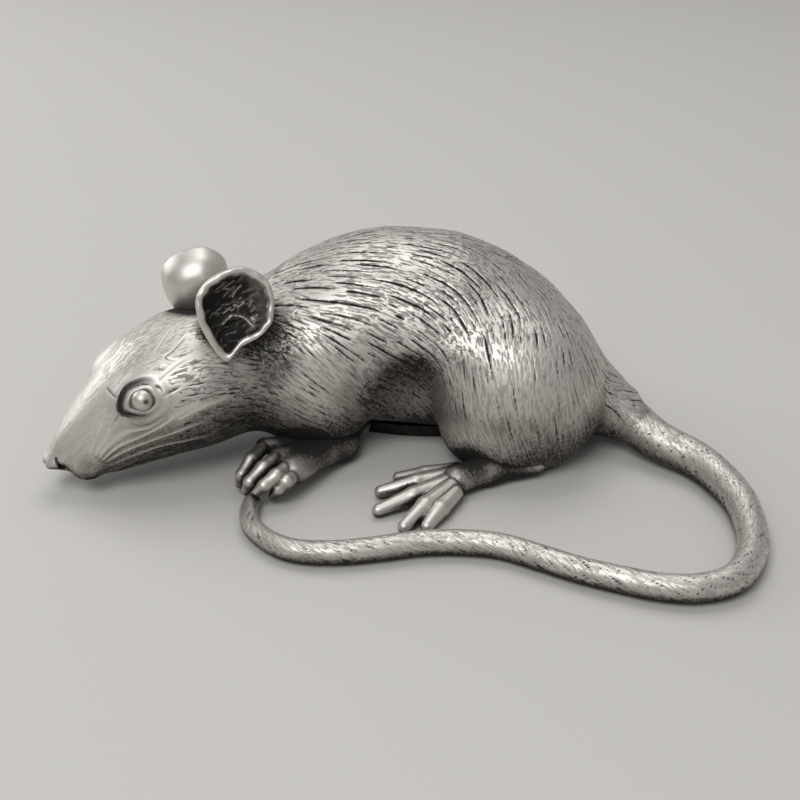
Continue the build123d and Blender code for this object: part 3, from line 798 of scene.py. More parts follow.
def comb(strokes, corners, normals, lie, sizes, chance, cells, allowed=None):
    """Fill what is free of a skin with strokes."""
    tree = tree_of(corners)
    points = [Vector(c) for c in corners]
    outward = [Vector(n) for n in normals]
    flow = [Vector(w) for w in lie]
    spacing, length, width, depth = (sizes[key] for key in ZONE_KEYS)
    count = 0

    def crowded(point, gap):
        column, row, layer = cell_of(point)
        for i in (column - 1, column, column + 1):
            for j in (row - 1, row, row + 1):
                for k in (layer - 1, layer, layer + 1):
                    for other in cells.get((i, j, k), ()):
                        if (other - point).length_squared < gap * gap:
                            return True
        return False

    for seed in chance.permutation(len(corners)):
        if (allowed is not None and not allowed[seed]) or crowded(points[seed], spacing[seed]):
            continue
        reach = length[seed] * chance.uniform(0.6, 1.5)
        halves = []
        for sense in (1, -1):
            place, nearest, run, trail = points[seed].copy(), int(seed), 0.0, []
            while run < reach / 2:
                way = flow[nearest] * sense
                place = place + way * PACE
                _, nearest, _ = tree.find(place)
                place = place - outward[nearest] * (place - points[nearest]).dot(outward[nearest])
                near_older = crowded(place, spacing[nearest] * KEEP_APART)
                if near_older or (allowed is not None and not allowed[nearest]):
                    break
                trail.append((place, flow[nearest]))
                run += PACE
            halves.append(trail)
        trail = halves[1][::-1] + [(points[seed], flow[seed])] + halves[0]
        if len(trail) < 3:
            continue
        for place, _ in trail:
            cells.setdefault(cell_of(place), []).append(place)
        force = chance.uniform(0.35, 1.0)
        uneven = width[seed] * (0.75 + 0.4 * force) * chance.uniform(0.75, 1.2, len(trail))
        strokes.add([p for p, _ in trail], [w for _, w in trail], uneven, depth[seed] * force, CUT_TAPER)
        count += 1
    return count


print("strokes keep", KEEP_APART, "of their spacing apart")

# %% [markdown]
# The long cuts come first, and a second round of finer hairs fills what is left between them. The skin round
# the eyes and beside the lines of the face stays bare, as on the casting, and the lines themselves join the
# strokes at the end.

# %% The coat
HAIRS = {"spacing": 0.62, "length": 0.7, "half_width": 0.8, "depth": 0.4}
BARE_ROUND_EYE = ALMOND[0] * 1.3
BARE_BESIDE_LINES = 0.6
LINE_TAPER = (0.12, 0.3)
chance = np.random.default_rng(12)
body_strokes = Strokes()
both_sides = body_corners, mirrored(body_corners, HEAD_MIRROR)
from_eye = np.minimum(*(np.linalg.norm(points - eye_spot, axis=1) for points in both_sides))
line_tree = tree_of(np.concatenate([line for line, *_ in face_strokes]))
from_line = np.array([line_tree.find(corner)[2] for corner in body_corners])
furred = (from_eye > BARE_ROUND_EYE) & (from_line > BARE_BESIDE_LINES)
taken = {}
if FINE:
    cuts = comb(body_strokes, body_corners, body_normals, body_lie, body_coat, chance, taken, furred)
    finer = {key: body_coat[key] * HAIRS[key] for key in ZONE_KEYS}
    hairs = comb(body_strokes, body_corners, body_normals, body_lie, finer, chance, taken, furred)
    print("cuts", cuts, "hairs", hairs)
for line, ways, half_width, depth in face_strokes:
    body_strokes.add(line, ways, half_width, depth, LINE_TAPER)
print("stroke samples", len(body_strokes.places))

# %% [markdown]
# Each corner looks up the nearest stroke and sinks by its profile. How deep it sank stays with the corner,
# because the same groove later holds the dark patina. A displacement texture would do the same, but only as
# finely as its pixels.

# %% Carving
def carve(corners, normals, strokes):
    """Sink corners into the strokes; also gives how deep each one sank, less than 0 where it was raised."""
    if not strokes.places:
        return corners, np.zeros(len(corners))
    places, ways = np.array(strokes.places), np.array(strokes.ways)
    widths, depths = np.array(strokes.widths), np.array(strokes.depths)
    tree = tree_of(places)
    found = np.array([tree.find(c)[1] for c in corners])
    offset = corners - places[found]
    along = (offset * ways[found]).sum(1)
    aside = np.sqrt(np.maximum((offset ** 2).sum(1) - along ** 2, 0))
    aside = np.hypot(aside, np.maximum(np.abs(along) - PACE, 0) * 2)
    shape = np.exp(-1.6 * (aside / widths[found]) ** 2)
    sunk = shape * depths[found]
    return corners - normals * sunk[:, None], sunk


body_carved, body_sunk = carve(body_corners, body_normals, body_strokes)
body_groove = np.maximum(body_sunk, body_dark)
print("deepest groove", body_groove.max().round(2), "mm")

# %% [markdown]
# The paws are chains of rounded bones: a forearm or foot, then fingers or toes melted on with a small
# fillet, so that a crease stays between them. The hand spreads like a fan from the elbow to the root of
# each finger, and each finger has a knuckle that stands up a little. A skin modifier on a few edges would
# give limbs too, but not creases of a chosen depth. Where two bones are equally near, the point lies in the
# crease between them, and that crease later holds the wash.

# %% Paws
def over_ground(column, row, height):
    """The point at a height over the ground that shows at a pixel."""
    way = pixel_ray(column, row)
    return eye_point + way * ((height - eye_point[2]) / way[2])


FOREARM = [(-7.6, -8.5, 3.4), (-9.6, -14.2, 2.8)]
FOREARM_RADII = [2.8, 2.3]
FINGER_PIXELS = [
    # column, row and height of each joint, from the knuckle to the claw
    [(264, 446, 4.8), (251, 460, 5.0), (242, 475, 3.7), (240, 484, 1.8)],
    [(278, 457, 4.9), (263, 468, 5.2), (250, 482, 4.0), (246, 491, 2.2)],
    [(288, 467, 4.7), (276, 476, 5.0), (264, 486, 4.2), (257, 492, 3.2)],
    [(295, 476, 4.0), (286, 482, 4.2), (278, 490, 3.0), (273, 496, 1.6)],
]
FINGERS = [[over_ground(*joint) for joint in finger] for finger in FINGER_PIXELS]
FINGER_RADII = [1.1, 1.15, 1.0, 0.75]
FAN_RADII = [2.2, 1.35]
FOOT = [(21.0, -19.0, 2.6), (14.0, -21.1, 2.6), (9.0, -24.4, 2.4)]
FOOT_RADII = [2.4, 2.5, 2.3]
TOES = [
    [(9.0, -21.5, 2.6), (4.0, -22.4, 2.2), (-0.2, -22.0, 1.3)],
    [(9.0, -23.0, 2.8), (2.5, -24.9, 2.3), (-3.0, -25.9, 1.3)],
    [(8.5, -24.6, 2.8), (2.0, -28.3, 2.2), (-3.3, -30.8, 1.2)],
    [(8.0, -26.2, 2.6), (3.8, -31.0, 2.2), (0.6, -35.0, 1.2)],
    [(8.5, -27.6, 2.2), (6.0, -31.5, 1.8), (4.0, -34.8, 1.1)],
]
TOE_RADII = [1.2, 1.4, 1.0]
FAN_FILLET, FOOT_FILLET, JOINT_FILLET = 1.6, 1.5, 0.4
FINGER_FILLET, TOE_FILLET = 0.3, 0.5
SOLE = 0.04
CREASE_REACH, CREASE_DARK = 0.3, 0.1


def hand(points):
    """Forearm, and the fan of bones from the elbow to the fingers."""
    form = limb(points, FOREARM, FOREARM_RADII)
    for finger in FINGERS:
        form = melt(form, bone(points, FOREARM[-1], finger[0], *FAN_RADII), FAN_FILLET)
    return form


def foot(points):
    """Heel and sole, without the toes."""
    return limb(points, FOOT, FOOT_RADII, FOOT_FILLET)


def paw(points, root, digits, digit_radii, fillet):
    """A hand or foot with its fingers or toes, level underneath."""
    form = root(points)
    for digit in digits:
        form = melt(form, limb(points, digit, digit_radii, JOINT_FILLET), fillet)
    return np.maximum(form, SOLE - points[..., 2])


def creases(points, root, digits, digit_radii):
    """The lines where a finger or toe meets its neighbour or the hand."""
    bones = [root(points)] + [limb(points, digit, digit_radii, JOINT_FILLET) for digit in digits]
    gaps = np.sort(bones, axis=0)
    return CREASE_DARK * np.exp(-((gaps[1] - gaps[0]) / CREASE_REACH) ** 2)


def forepaw(points):
    """The whole left fore paw."""
    return paw(points, hand, FINGERS, FINGER_RADII, FINGER_FILLET)


def hind_paw(points):
    """The whole left hind paw."""
    return paw(points, foot, TOES, TOE_RADII, TOE_FILLET)


PAW_STEP = 0.3 if FINE else 0.6
FOREPAW_BOX = (-29, -32, -0.6), (-2, -4, 9)
HIND_BOX = (-6, -38, -0.6), (24.5, -14, 7)
forepaw_mesh = skin(forepaw, *FOREPAW_BOX, PAW_STEP, 0)
hind_mesh = skin(hind_paw, *HIND_BOX, PAW_STEP, 0)
forepaw_dark = creases(forepaw_mesh[0], hand, FINGERS, FINGER_RADII)
hind_dark = creases(hind_mesh[0], foot, TOES, TOE_RADII)
print("paws", len(forepaw_mesh[0]), len(hind_mesh[0]), "corners")

# %% [markdown]
# An ear is a thin cup: a smooth back, a rolled lip and a hollow with folds. Its rim is a teardrop, drawn as
# a smooth closed curve. Rings of that curve, shrunk and set back step by step, make the back, the lip and
# the hollow in one closed skin. A dish with a solidify modifier would be simpler, but its lip would be even
# all round. The hollow is deepest low in front, so that its rear wall shows, and the lip wavers as a
# hand-pressed edge does. The far ear is the mirror image, turned a little further back.

# %% Ears
EAR_OUTLINE = [
    # mm towards the rear and up, from the middle of the rim
    (-4.2, -6.6), (-5.6, -1.6), (-5.4, 2.1), (-4.3, 4.4), (-2.0, 5.8), (0.9, 6.2), (3.6, 5.7), (5.8, 3.5),
    (6.4, 0.8), (5.5, -2.1), (4.2, -4.0), (1.7, -5.1), (-1.4, -5.5),
]
EAR_RINGS = [
    # share of the rim, height above its plane, how far the ring slips to the deep corner
    (0.004, -6.2, 0.0), (0.34, -6.1, 0.0), (0.58, -5.6, 0.0), (0.79, -4.4, 0.0), (0.93, -2.8, 0.0),
    (0.985, -1.2, 0.0), (1.0, -0.2, 0.0), (0.98, 0.35, 0.0), (0.92, 0.5, 0.0), (0.85, 0.3, 0.0),
    (0.80, -0.5, 0.1), (0.75, -1.4, 0.25), (0.66, -2.3, 0.5), (0.54, -3.0, 0.8), (0.40, -3.5, 1.1),
    (0.26, -3.8, 1.3), (0.12, -3.9, 1.4), (0.004, -3.9, 1.4),
]
BACK_UNTIL, HOLLOW_FROM = 4.5, 9.6
LIP_RING, LIP_REACH = 9.0, 2.0
LIP_WAVER, LIP_WAVE_HEIGHT = 0.022, 0.12
DEEP_CORNER = np.array([-0.8, -0.6])
EARS = {
    # place along, aside and above on the head, lean forward and up, size
    "left": (7.6, 9.4, 13.3, 0.15, 0.38, 1.0),
    "right": (7.8, -7.7, 11.8, -0.31, 0.1, 0.9),
}


def closed_curve(points, per_span):
    """Smooth closed curve through points."""
    points, curve = np.asarray(points, float), []
    for k in range(len(points)):
        near = [points[(k + j) % len(points)] for j in (-1, 0, 1, 2)]
        for t in np.arange(per_span) / per_span:
            curve.append(between_points(*near, t))
    return np.array(curve)


def tube_quads(rings, around):
    """Quads between rings of corners that close on themselves."""
    k, j = np.meshgrid(np.arange(rings - 1), np.arange(around), indexing="ij")
    k, j, after = k.ravel(), j.ravel(), ((j + 1) % around).ravel()
    return np.stack([k * around + j, k * around + after, (k + 1) * around + after, (k + 1) * around + j], 1)


def ear_axes(name):
    """Middle of an ear's rim, and its rearward, upward and facing axes."""
    along, aside, above, forward, upward, _ = EARS[name]
    hand = math.copysign(1.0, aside)
    sideways = math.sqrt(1 - forward ** 2 - upward ** 2)
    facing = HEAD_FORWARD * forward + HEAD_LEFT * (hand * sideways) + HEAD_UP * upward
    rise = HEAD_UP - facing * (HEAD_UP @ facing)
    rise /= np.linalg.norm(rise)
    return on_head(along, aside, above), np.cross(rise, facing) * hand, rise, facing


ear_rim = closed_curve(EAR_OUTLINE, 12 if FINE else 5)
ear_steps = np.linspace(0, len(EAR_RINGS) - 1, 120 if FINE else 40)
ear_shares, ear_heights, ear_slips = (
    eased(np.array(EAR_RINGS)[:, k], np.arange(len(EAR_RINGS), dtype=float), ear_steps) for k in range(3)
)
ear_turn = np.linspace(0, 2 * math.pi, len(ear_rim), endpoint=False)
lip_waver = 0.6 * np.sin(5 * ear_turn + 1) + 0.5 * np.sin(11 * ear_turn) + 0.4 * np.sin(17 * ear_turn + 2)
on_lip = dip(ear_steps, LIP_RING, LIP_REACH)
rim_middle = ear_rim.mean(0)
ear_flat = np.concatenate([
    rim_middle + (ear_rim - rim_middle) * (share + LIP_WAVER * near * lip_waver)[:, None] + DEEP_CORNER * slip
    for share, slip, near in zip(ear_shares, ear_slips, on_lip)
])
ear_height = (ear_heights[:, None] + LIP_WAVE_HEIGHT * on_lip[:, None] * lip_waver[::-1]).ravel()
ear_inside = np.repeat(ear_steps >= HOLLOW_FROM, len(ear_rim))
ear_quads = tube_quads(len(ear_steps), len(ear_rim))
print("ear rim", np.ptp(ear_rim, axis=0).round(1), "mm")

# %% [markdown]
# Inside the hollow lie short ridges, as if scored in wax, and one fold arches over the ear's opening. The
# ridges are raised lines at random places. They stay bright while the floor between them is black. The floor
# holds the wash and is darkest in front, as painted shadow under the lip, and the rear wall is painted
# lighter, as painted light falling into the cup.

# %% Folds of the ear
EAR_FOLD = [(-2.3, -1.6), (-0.6, -1.0), (0.9, -1.7), (1.5, -3.0)]
FOLD_WIDTH, FOLD_HEIGHT = 0.5, 1.0
RIDGES, RIDGE_WIDTH, RIDGE_HEIGHT = 130, 0.22, 0.3


def near_segment(points, start, end):
    """Distance of flat points from a segment."""
    axis = end - start
    share = np.clip((points - start) @ axis / (axis @ axis), 0, 1)
    return np.linalg.norm(points - start - share[:, None] * axis, axis=1)


folds = np.random.default_rng(5)
ridge = np.zeros(len(ear_flat))
for _ in range(RIDGES):
    start = folds.uniform((-5.0, -5.0), (5.5, 5.5))
    lean = folds.normal(0.2, 0.3)
    end = start + folds.uniform(0.6, 1.8) * np.array([math.cos(lean), math.sin(lean)])
    across = dip(near_segment(ear_flat, start, end), 0, RIDGE_WIDTH)
    ridge = np.maximum(ridge, folds.uniform(0.4, 1.0) * across)
fold_line = open_curve(EAR_FOLD, 6)
fold_gap = np.min([near_segment(ear_flat, *fold_line[k:k + 2]) for k in range(len(fold_line) - 1)], axis=0)
fold = dip(fold_gap, 0, FOLD_WIDTH)
ear_height = ear_height + np.where(ear_inside, RIDGE_HEIGHT * ridge + FOLD_HEIGHT * fold, 0)
# The rear wall is painted lighter, as painted light falling into the cup.
rear_wall = np.clip((ear_flat[:, 0] - 2.2) / 2.0, 0, 1) * np.clip((ear_height + 3.2) / 2.0, 0, 1)
rubbed_and_lit = np.maximum(np.maximum(0.6 * ridge, 0.6 * fold), 0.5 * rear_wall)
# The ear's floor holds the wash, with painted shadow under the lip towards the front.
floor_wash_and_shadow = 0.95 - 0.2 * np.clip((ear_flat[:, 0] + 2.5) / 5.0, 0, 1)
on_back = np.repeat(ear_steps < BACK_UNTIL, len(ear_rim))
root_dark = 0.06 + 0.34 * np.clip((-3.0 - ear_flat[:, 1]) / 2.0, 0, 1) * on_back
ear_dark = np.where(ear_inside, floor_wash_and_shadow - rubbed_and_lit, root_dark)
print("ridges in the ear", RIDGES)

# %% [markdown]
# The eyes are plain beads, set in the skin where the photograph shows the near one, with a dark prick for the
# pupil. A ready-made sphere would do. Rings of corners are used because the ears and the tail are made of
# them too, and one helper then gives the quads of all three.

# %% Eyes
EYE_RADIUS = 1.7
EYE_SINK = 0.75
FAR_EYE_SINK = 0.6
PUPIL_PIXEL = (146, 402)
PUPIL_REACH, PUPIL_DARK = 0.5, 0.12
POLE = 0.02
EYE_CENTRE = eye_spot - eye_out * EYE_SINK


def bead(centre, radius, rings=28, around=40):
    """A ball of quads whose poles close nearly to a point."""
    polar = np.linspace(POLE, math.pi - POLE, rings)
    turn = np.arange(around) * 2 * math.pi / around
    ball = np.stack([
        np.outer(np.sin(polar), np.cos(turn)), np.outer(np.sin(polar), np.sin(turn)),
        np.outer(np.cos(polar), np.ones(around)),
    ], -1).reshape(-1, 3)
    return centre + ball * radius, tube_quads(rings, around)[:, ::-1]


eye_corners, eye_quads = bead(EYE_CENTRE, EYE_RADIUS)
toward_pupil = eye_corners - eye_point
pupil_ray = pixel_ray(*PUPIL_PIXEL)
pupil_gap = np.linalg.norm(toward_pupil - np.outer(toward_pupil @ pupil_ray, pupil_ray), axis=1)
eye_dark = PUPIL_DARK * dip(pupil_gap, 0, PUPIL_REACH)
print("eye at", EYE_CENTRE.round(1))

# %% [markdown]
# The tail is a tapering tube swept along its route, lying on the ground all the way. A curve with a bevel
# makes such a tube in a moment, but its corners couldn't be carved before it is a mesh, so it is built from
# rings. Short slanted cuts follow it later, made by the same combing as the coat.

# %% Tail
TAIL_RADII = [
    4.2, 3.7, 3.25, 2.95, 2.65, 2.4, 2.3, 2.2, 2.1, 2.0, 1.95, 1.9, 1.9, 1.9, 1.9, 1.9, 1.85, 1.8, 1.75, 1.65,
    1.5, 1.4, 1.3,
]
TAIL_PACE = 0.28 if FINE else 0.8
TAIL_AROUND = 44 if FINE else 20
TIP_LENGTH, TIP_LEAST = 1.4, 0.0004
tail_line = open_curve(np.column_stack([TAIL_ROUTE, TAIL_RADII]), 30)
tail_run = np.concatenate([[0], np.cumsum(np.linalg.norm(np.diff(tail_line[:, :3], axis=0), axis=1))])
tail_marks = np.arange(0, tail_run[-1], TAIL_PACE)
tail_line = np.stack([np.interp(tail_marks, tail_run, tail_line[:, k]) for k in range(4)], 1)
tail_ahead = np.gradient(tail_line[:, :3], axis=0)
tail_ahead /= np.linalg.norm(tail_ahead, axis=1, keepdims=True)
tail_side = np.cross(tail_ahead, [0, 0, 1.0])
tail_side /= np.linalg.norm(tail_side, axis=1, keepdims=True)
tail_rise = np.cross(tail_side, tail_ahead)
tail_thick = tail_line[:, 3]
to_tip = tail_run[-1] - tail_marks
rounded = np.sqrt(np.clip(1 - (1 - np.clip(to_tip / TIP_LENGTH, 0, 1)) ** 2, TIP_LEAST, 1))
turn = np.arange(TAIL_AROUND) * 2 * math.pi / TAIL_AROUND
tail_out = tail_side[:, None] * np.cos(turn)[None, :, None] + tail_rise[:, None] * np.sin(turn)[None, :, None]
tail_corners = (tail_line[:, None, :3] + tail_out * (tail_thick * rounded)[:, None, None]).reshape(-1, 3)
tail_corners[:, 2] = np.maximum(tail_corners[:, 2], SOLE)
tail_quads = tube_quads(len(tail_marks), TAIL_AROUND)
tail_normals = tail_out.reshape(-1, 3)
print("tail", round(tail_run[-1], 1), "mm long,", len(tail_quads), "quads")

# %% [markdown]
# Pewter like this is dipped in a dark wash and rubbed back. The wash stays where the cloth can't reach: in
# the grooves and wherever other forms crowd round. How crowded a place is comes from the distances: a
# point lifted off the surface should be as far from the figure as it was lifted, and it is nearer where
# something else leans over it. The floor is part of that figure, so the crowding is partly wash and partly
# painted shade, where the mouse meets the floor and where its parts lean together. The ambient occlusion
# node sees the same, but it works at render time, and an attribute rides on the corners of the mesh.
# Undersides are painted darker too, as painted shade and a painted reflection of a dark floor. Raised lines,
# such as the whiskers, are the first to be rubbed bright.

# %% Wash and painted shade
RUBBED_BRIGHT = 2.5
CROWD_LIFTS = (0.8, 0.3), (2.0, 0.3), (4.5, 0.2)
EAR_BACK, EAR_BULK = 3.0, (4.8, 4.8, 4.8)
UNDER_PAINTED_SHADE, UNDER_FROM, UNDER_SPAN = 0.5, 0.42, 0.8
FAR_SIDE = np.array([1.0, -1.0, 1.0])
FAR_HAUNCH = np.array([0.0, 2.0, 0.0])
SHADE_AND_STAINS = {
    # name: middle, reach and strength of wash left on purpose together with painted shade under and low down
    "flank": ((2.0, -15.0, 9.0), 8.5, 0.12),
    "neck": ((-23.0, -13.0, 12.0), 7.5, 0.12),
    "ear root": (on_head(5, 10, 5), 6.5, 0.38),
    "whisker pad": (on_head(36, 4.5, -3.0), 4.0, 0.34),
    "muzzle": (on_head(27, 9, -4), 9.0, 0.34),
    "cheek": (on_head(15, 12, -1), 8.0, 0.3),
    "throat": (on_head(16, 7, -9), 6.0, 0.3),
    "belly": ((3.0, -11.0, 3.0), 6.5, 0.6),
    "elbow": ((-9.0, -14.0, 3.0), 5.5, 0.6),
    "hand": ((-14.5, -19.5, 5.0), 5.0, 0.75),
    "tail root": ((33.0, -12.0, 3.0), 4.5, 0.4),
    "heel": ((17.0, -22.5, 1.5), 4.5, 0.6),
    "instep": ((11.0, -23.0, 4.0), 3.6, 0.7),
    "wrist": ((-10.5, -16.5, 3.0), 4.5, 0.6),
}


def painted_shade_and_stains(corners):
    """Wash and painted shade at the listed places, on both sides."""
    wash = np.zeros(len(corners))
    for middle, reach, strength in SHADE_AND_STAINS.values():
        for place in (corners, corners * FAR_SIDE):
            wash = np.maximum(wash, strength * dip(np.linalg.norm(place - middle, axis=1), 0, reach))
    return wash


def figure(points):
    """The whole figure, with the floor under it, as one form."""
    form = np.minimum(animal(points), np.minimum(forepaw(points), hind_paw(points)))
    form = np.minimum(form, forepaw(points * FAR_SIDE))
    form = np.minimum(form, hind_paw((points + FAR_HAUNCH) * FAR_SIDE))
    for name in EARS:
        middle, _, _, facing = ear_axes(name)
        form = np.minimum(form, egg(points, middle - facing * EAR_BACK, EAR_BULK))
    # The floor is in the form, so skin near it gets painted shade.
    return np.minimum(form, points[..., 2])


def wash_and_painted_shade(corners, normals):
    """How much wash and painted shade each corner takes, from 0 in the open."""
    crowd = np.zeros(len(corners))
    for lift, weight in CROWD_LIFTS:
        gap = measured(figure, corners + normals * lift)
        crowd += weight * np.clip(1 - gap / lift, 0, 1)
    # Undersides take painted shade and a painted reflection of a dark floor.
    under = UNDER_PAINTED_SHADE * np.clip((UNDER_FROM - normals[:, 2]) / UNDER_SPAN, 0, 1)
    return np.maximum(crowd + painted_shade_and_stains(corners), under)


body_wash_and_shade = wash_and_painted_shade(body_corners, body_normals) - RUBBED_BRIGHT * np.maximum(-body_sunk, 0)
print("crowded corners", int((body_wash_and_shade > 0.4).sum()))

# %% [markdown]
# Shader maths reads best as plain sums, so a small class wraps a socket and lets the usual operators add the
# Math nodes. Nodes placed and linked one by one would hide the sum. Every other node comes from one method
# that takes its type, its settings and its sockets.

# %% Sums on sockets
class Signal:
    """A socket of a finish; arithmetic on it adds Math nodes."""

    def __init__(self, finish, socket):
        self.finish, self.socket = finish, socket

    def sum(self, operation, first, second):
        return self.finish.node("ShaderNodeMath", {"operation": operation}, {0: first, 1: second})

    def __add__(self, other):
        return self.sum("ADD", self, other)

    def __radd__(self, other):
        return self.sum("ADD", other, self)

    def __sub__(self, other):
        return self.sum("SUBTRACT", self, other)

    def __rsub__(self, other):
        return self.sum("SUBTRACT", other, self)

    def __mul__(self, other):
        return self.sum("MULTIPLY", self, other)

    def __rmul__(self, other):
        return self.sum("MULTIPLY", other, self)


class Finish:
    """A material and its nodes."""

    def __init__(self, name):
        self.material = bpy.data.materials.new(name)
        self.material.use_nodes = True
        self.tree = self.material.node_tree
        self.shader = self.tree.nodes["Principled BSDF"]

    def connect(self, socket, value):
        if isinstance(value, Signal):
            self.tree.links.new(value.socket, socket)
        else:
            socket.default_value = value

    def node(self, kind, settings=None, sockets=None, output=0):
        """Any node: settings first, then the values or links of its sockets."""
        node = self.tree.nodes.new(kind)
        for key, value in (settings or {}).items():
            setattr(node, key, value)
        for key, value in (sockets or {}).items():
            self.connect(node.inputs[key], value)
        return Signal(self, node.outputs[output])

    def attribute(self, name, output="Fac"):
        return self.node("ShaderNodeAttribute", {"attribute_name": name}, output=output)

    def vector(self, operation, first, second, output=0):
        sockets = {0: first, 1: second}
        return self.node("ShaderNodeVectorMath", {"operation": operation}, sockets, output=output)

    def noise(self, scale, detail=2.0, rough=0.5):
        place = self.node("ShaderNodeTexCoord", output="Object")
        return self.node("ShaderNodeTexNoise", None,
                         {"Vector": place, "Scale": scale, "Detail": detail, "Roughness": rough})

    def between(self, value, low, high, start=0.0, end=1.0):
        """A value eased from one range into another."""
        return self.node("ShaderNodeMapRange", {"interpolation_type": "SMOOTHSTEP"},
                         {"Value": value, "From Min": low, "From Max": high, "To Min": start, "To Max": end})

    def mix(self, share, first, second):
        """Two colours mixed."""
        return self.node("ShaderNodeMix", {"data_type": "RGBA"}, {0: share, 6: first, 7: second}, output=2)

    def clamp(self, value):
        return self.node("ShaderNodeClamp", None, {"Value": value})

    def into(self, **sockets):
        """Signals and values for the shader's own sockets."""
        for key, value in sockets.items():
            self.connect(self.shader.inputs[key.replace("_", " ")], value)


print("shader sums ready")

# %% [markdown]
# One finish serves the whole casting. Four things decide how dark a spot is: the groove it lies in, the
# hollow attribute, which is wash in the crowded places together with painted shade, fine specks of wash that
# survive the rubbing, and hair lines too fine to carve. Those last are noise that is stretched along the lie
# of the fur. The stretching is done inside small cells, because over the whole body a turning direction would
# shear the noise; two sets of cells hide each other's edges. Burnished pewter is a warm grey with a satin
# sheen, turned to a darker grey at random and, as painted shade, where the hollow attribute is high; the wash
# is nearly black, rough and hardly metallic. A painted texture could carry all this too, but it would need an
# unwrapped body and would hide the reasons.

# %% Antique pewter
BURNISHED = (0.71, 0.68, 0.635, 1)
# The darker grey stands for random tone and for painted shade.
WORN_AND_SHADED = (0.30, 0.28, 0.25, 1)
WASH = (0.018, 0.016, 0.015, 1)
HAIR_CELL = 0.004
HAIR_STRETCH = 0.88
HAIR_SCALE = 3000.0
OTHER_CELLS = 0.0017
CELLS_APART = (37.0, 41.0, 43.0)


def hair_lines(finish, offset):
    """Noise drawn out along the fur, cell by cell."""
    lie = finish.attribute("lie", "Vector")
    place = finish.vector("ADD", finish.node("ShaderNodeTexCoord", output="Object"), (offset,) * 3)
    cell = finish.vector("SNAP", place, (HAIR_CELL,) * 3)
    inside = finish.vector("SUBTRACT", place, cell)
    along = finish.vector("DOT_PRODUCT", inside, lie, output="Value") * HAIR_STRETCH
    drawn = finish.vector("SUBTRACT", inside, finish.node(
        "ShaderNodeVectorMath", {"operation": "SCALE"}, {0: lie, "Scale": along}))
    apart = finish.vector("ADD", drawn, finish.vector("MULTIPLY", cell, CELLS_APART))
    return finish.node("ShaderNodeTexNoise", None, {"Vector": apart, "Scale": HAIR_SCALE, "Detail": 1.0})


def antique_pewter():
    """Burnished metal with the wash in its grooves and hollows."""
    finish = Finish("antique_pewter")
    groove, hollow, fur = (finish.attribute(name) for name in ("groove", "hollow", "fur"))
    blotch = finish.noise(140.0, 3.0)
    specks = finish.noise(2400.0, 3.0, 0.6)
    hair = hair_lines(finish, 0.0) * 0.5 + hair_lines(finish, OTHER_CELLS) * 0.5
    in_groove = finish.between(groove, 0.012, 0.11)
    # Wash, stains and painted shade from the hollow attribute, with specks.
    in_wash_and_shade = finish.between(hollow + (blotch - 0.5) * 0.3 + (specks - 0.5) * 0.7, 0.22, 0.68)
    in_hair = finish.between(hair, 0.46, 0.58) * fur
    dark = finish.clamp(in_groove * 0.92 + in_wash_and_shade + in_hair * 0.55)
    # Metal turns darker grey with the random blotches, and as painted shade where the hollow attribute is
    # high.
    metal = finish.mix(finish.between(blotch * 0.7 - hollow, -0.15, 0.32), WORN_AND_SHADED, BURNISHED)
    finish.into(
        Base_Color=finish.mix(dark, metal, WASH),
        Metallic=0.94 - dark * 0.6,
        Roughness=0.46 + dark * 0.3 + (blotch - 0.5) * 0.16 + (specks - 0.5) * 0.12,
    )
    height = finish.noise(3000.0, 3.0, 0.6) * 0.5 - in_hair * 0.6
    bump = finish.node("ShaderNodeBump", None, {"Strength": 0.5, "Distance": 0.00008, "Height": height})
    finish.into(Normal=bump)
    return finish.material


pewter = antique_pewter()
print("finish", pewter.name)

# %% [markdown]
# A piece takes its corners, its quads and what the finish needs at each corner: groove, hollow, fur and the
# lie of the fur. Those ride on the mesh as attributes. Each piece stands for one solid of the frame.

# %% Pieces
# The hollow attribute carries the wash together with painted shade.
def piece(name, corners, quads, node, groove=0.0, hollow=0.0, fur=0.0, lie=(1.0, 0.0, 0.0), normals=None):
    """A mesh in the frame that stands for one solid."""
    used, quads = np.unique(quads, return_inverse=True)
    quads = quads.reshape(-1, 4)
    mesh = bpy.data.meshes.new(name)
    mesh.from_pydata(to_frame(corners[used]).tolist(), [], quads.tolist())
    mesh.update()
    mesh.polygons.foreach_set("use_smooth", np.full(len(mesh.polygons), True))
    for key, values in (("groove", groove), ("hollow", hollow), ("fur", fur)):
        values = np.broadcast_to(np.asarray(values, float), len(corners))[used]
        mesh.attributes.new(key, "FLOAT", "POINT").data.foreach_set("value", values.astype(np.float32))
    ways = np.broadcast_to(np.asarray(lie, float), corners.shape)[used].astype(np.float32)
    mesh.attributes.new("lie", "FLOAT_VECTOR", "POINT").data.foreach_set("vector", ways.ravel())
    if normals is not None:
        mesh.normals_split_custom_set_from_vertices(normals[used].tolist())
    mesh.materials.append(pewter)
    thing = bpy.data.objects.new(name, mesh)
    bpy.context.collection.objects.link(thing)
    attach(thing, "root")
    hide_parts(node)
    return thing


print("pieces take", pewter.name)

# %% [markdown]
# The head and the two sides of the body are cut from one skin along the neck and the seam, where the solids
# part. Three separate meshes would each shade their own edge, so the whole skin's normals go with them
# and no joint shows. On the head the fine hair lines are stronger, because there the cuts are shallow.

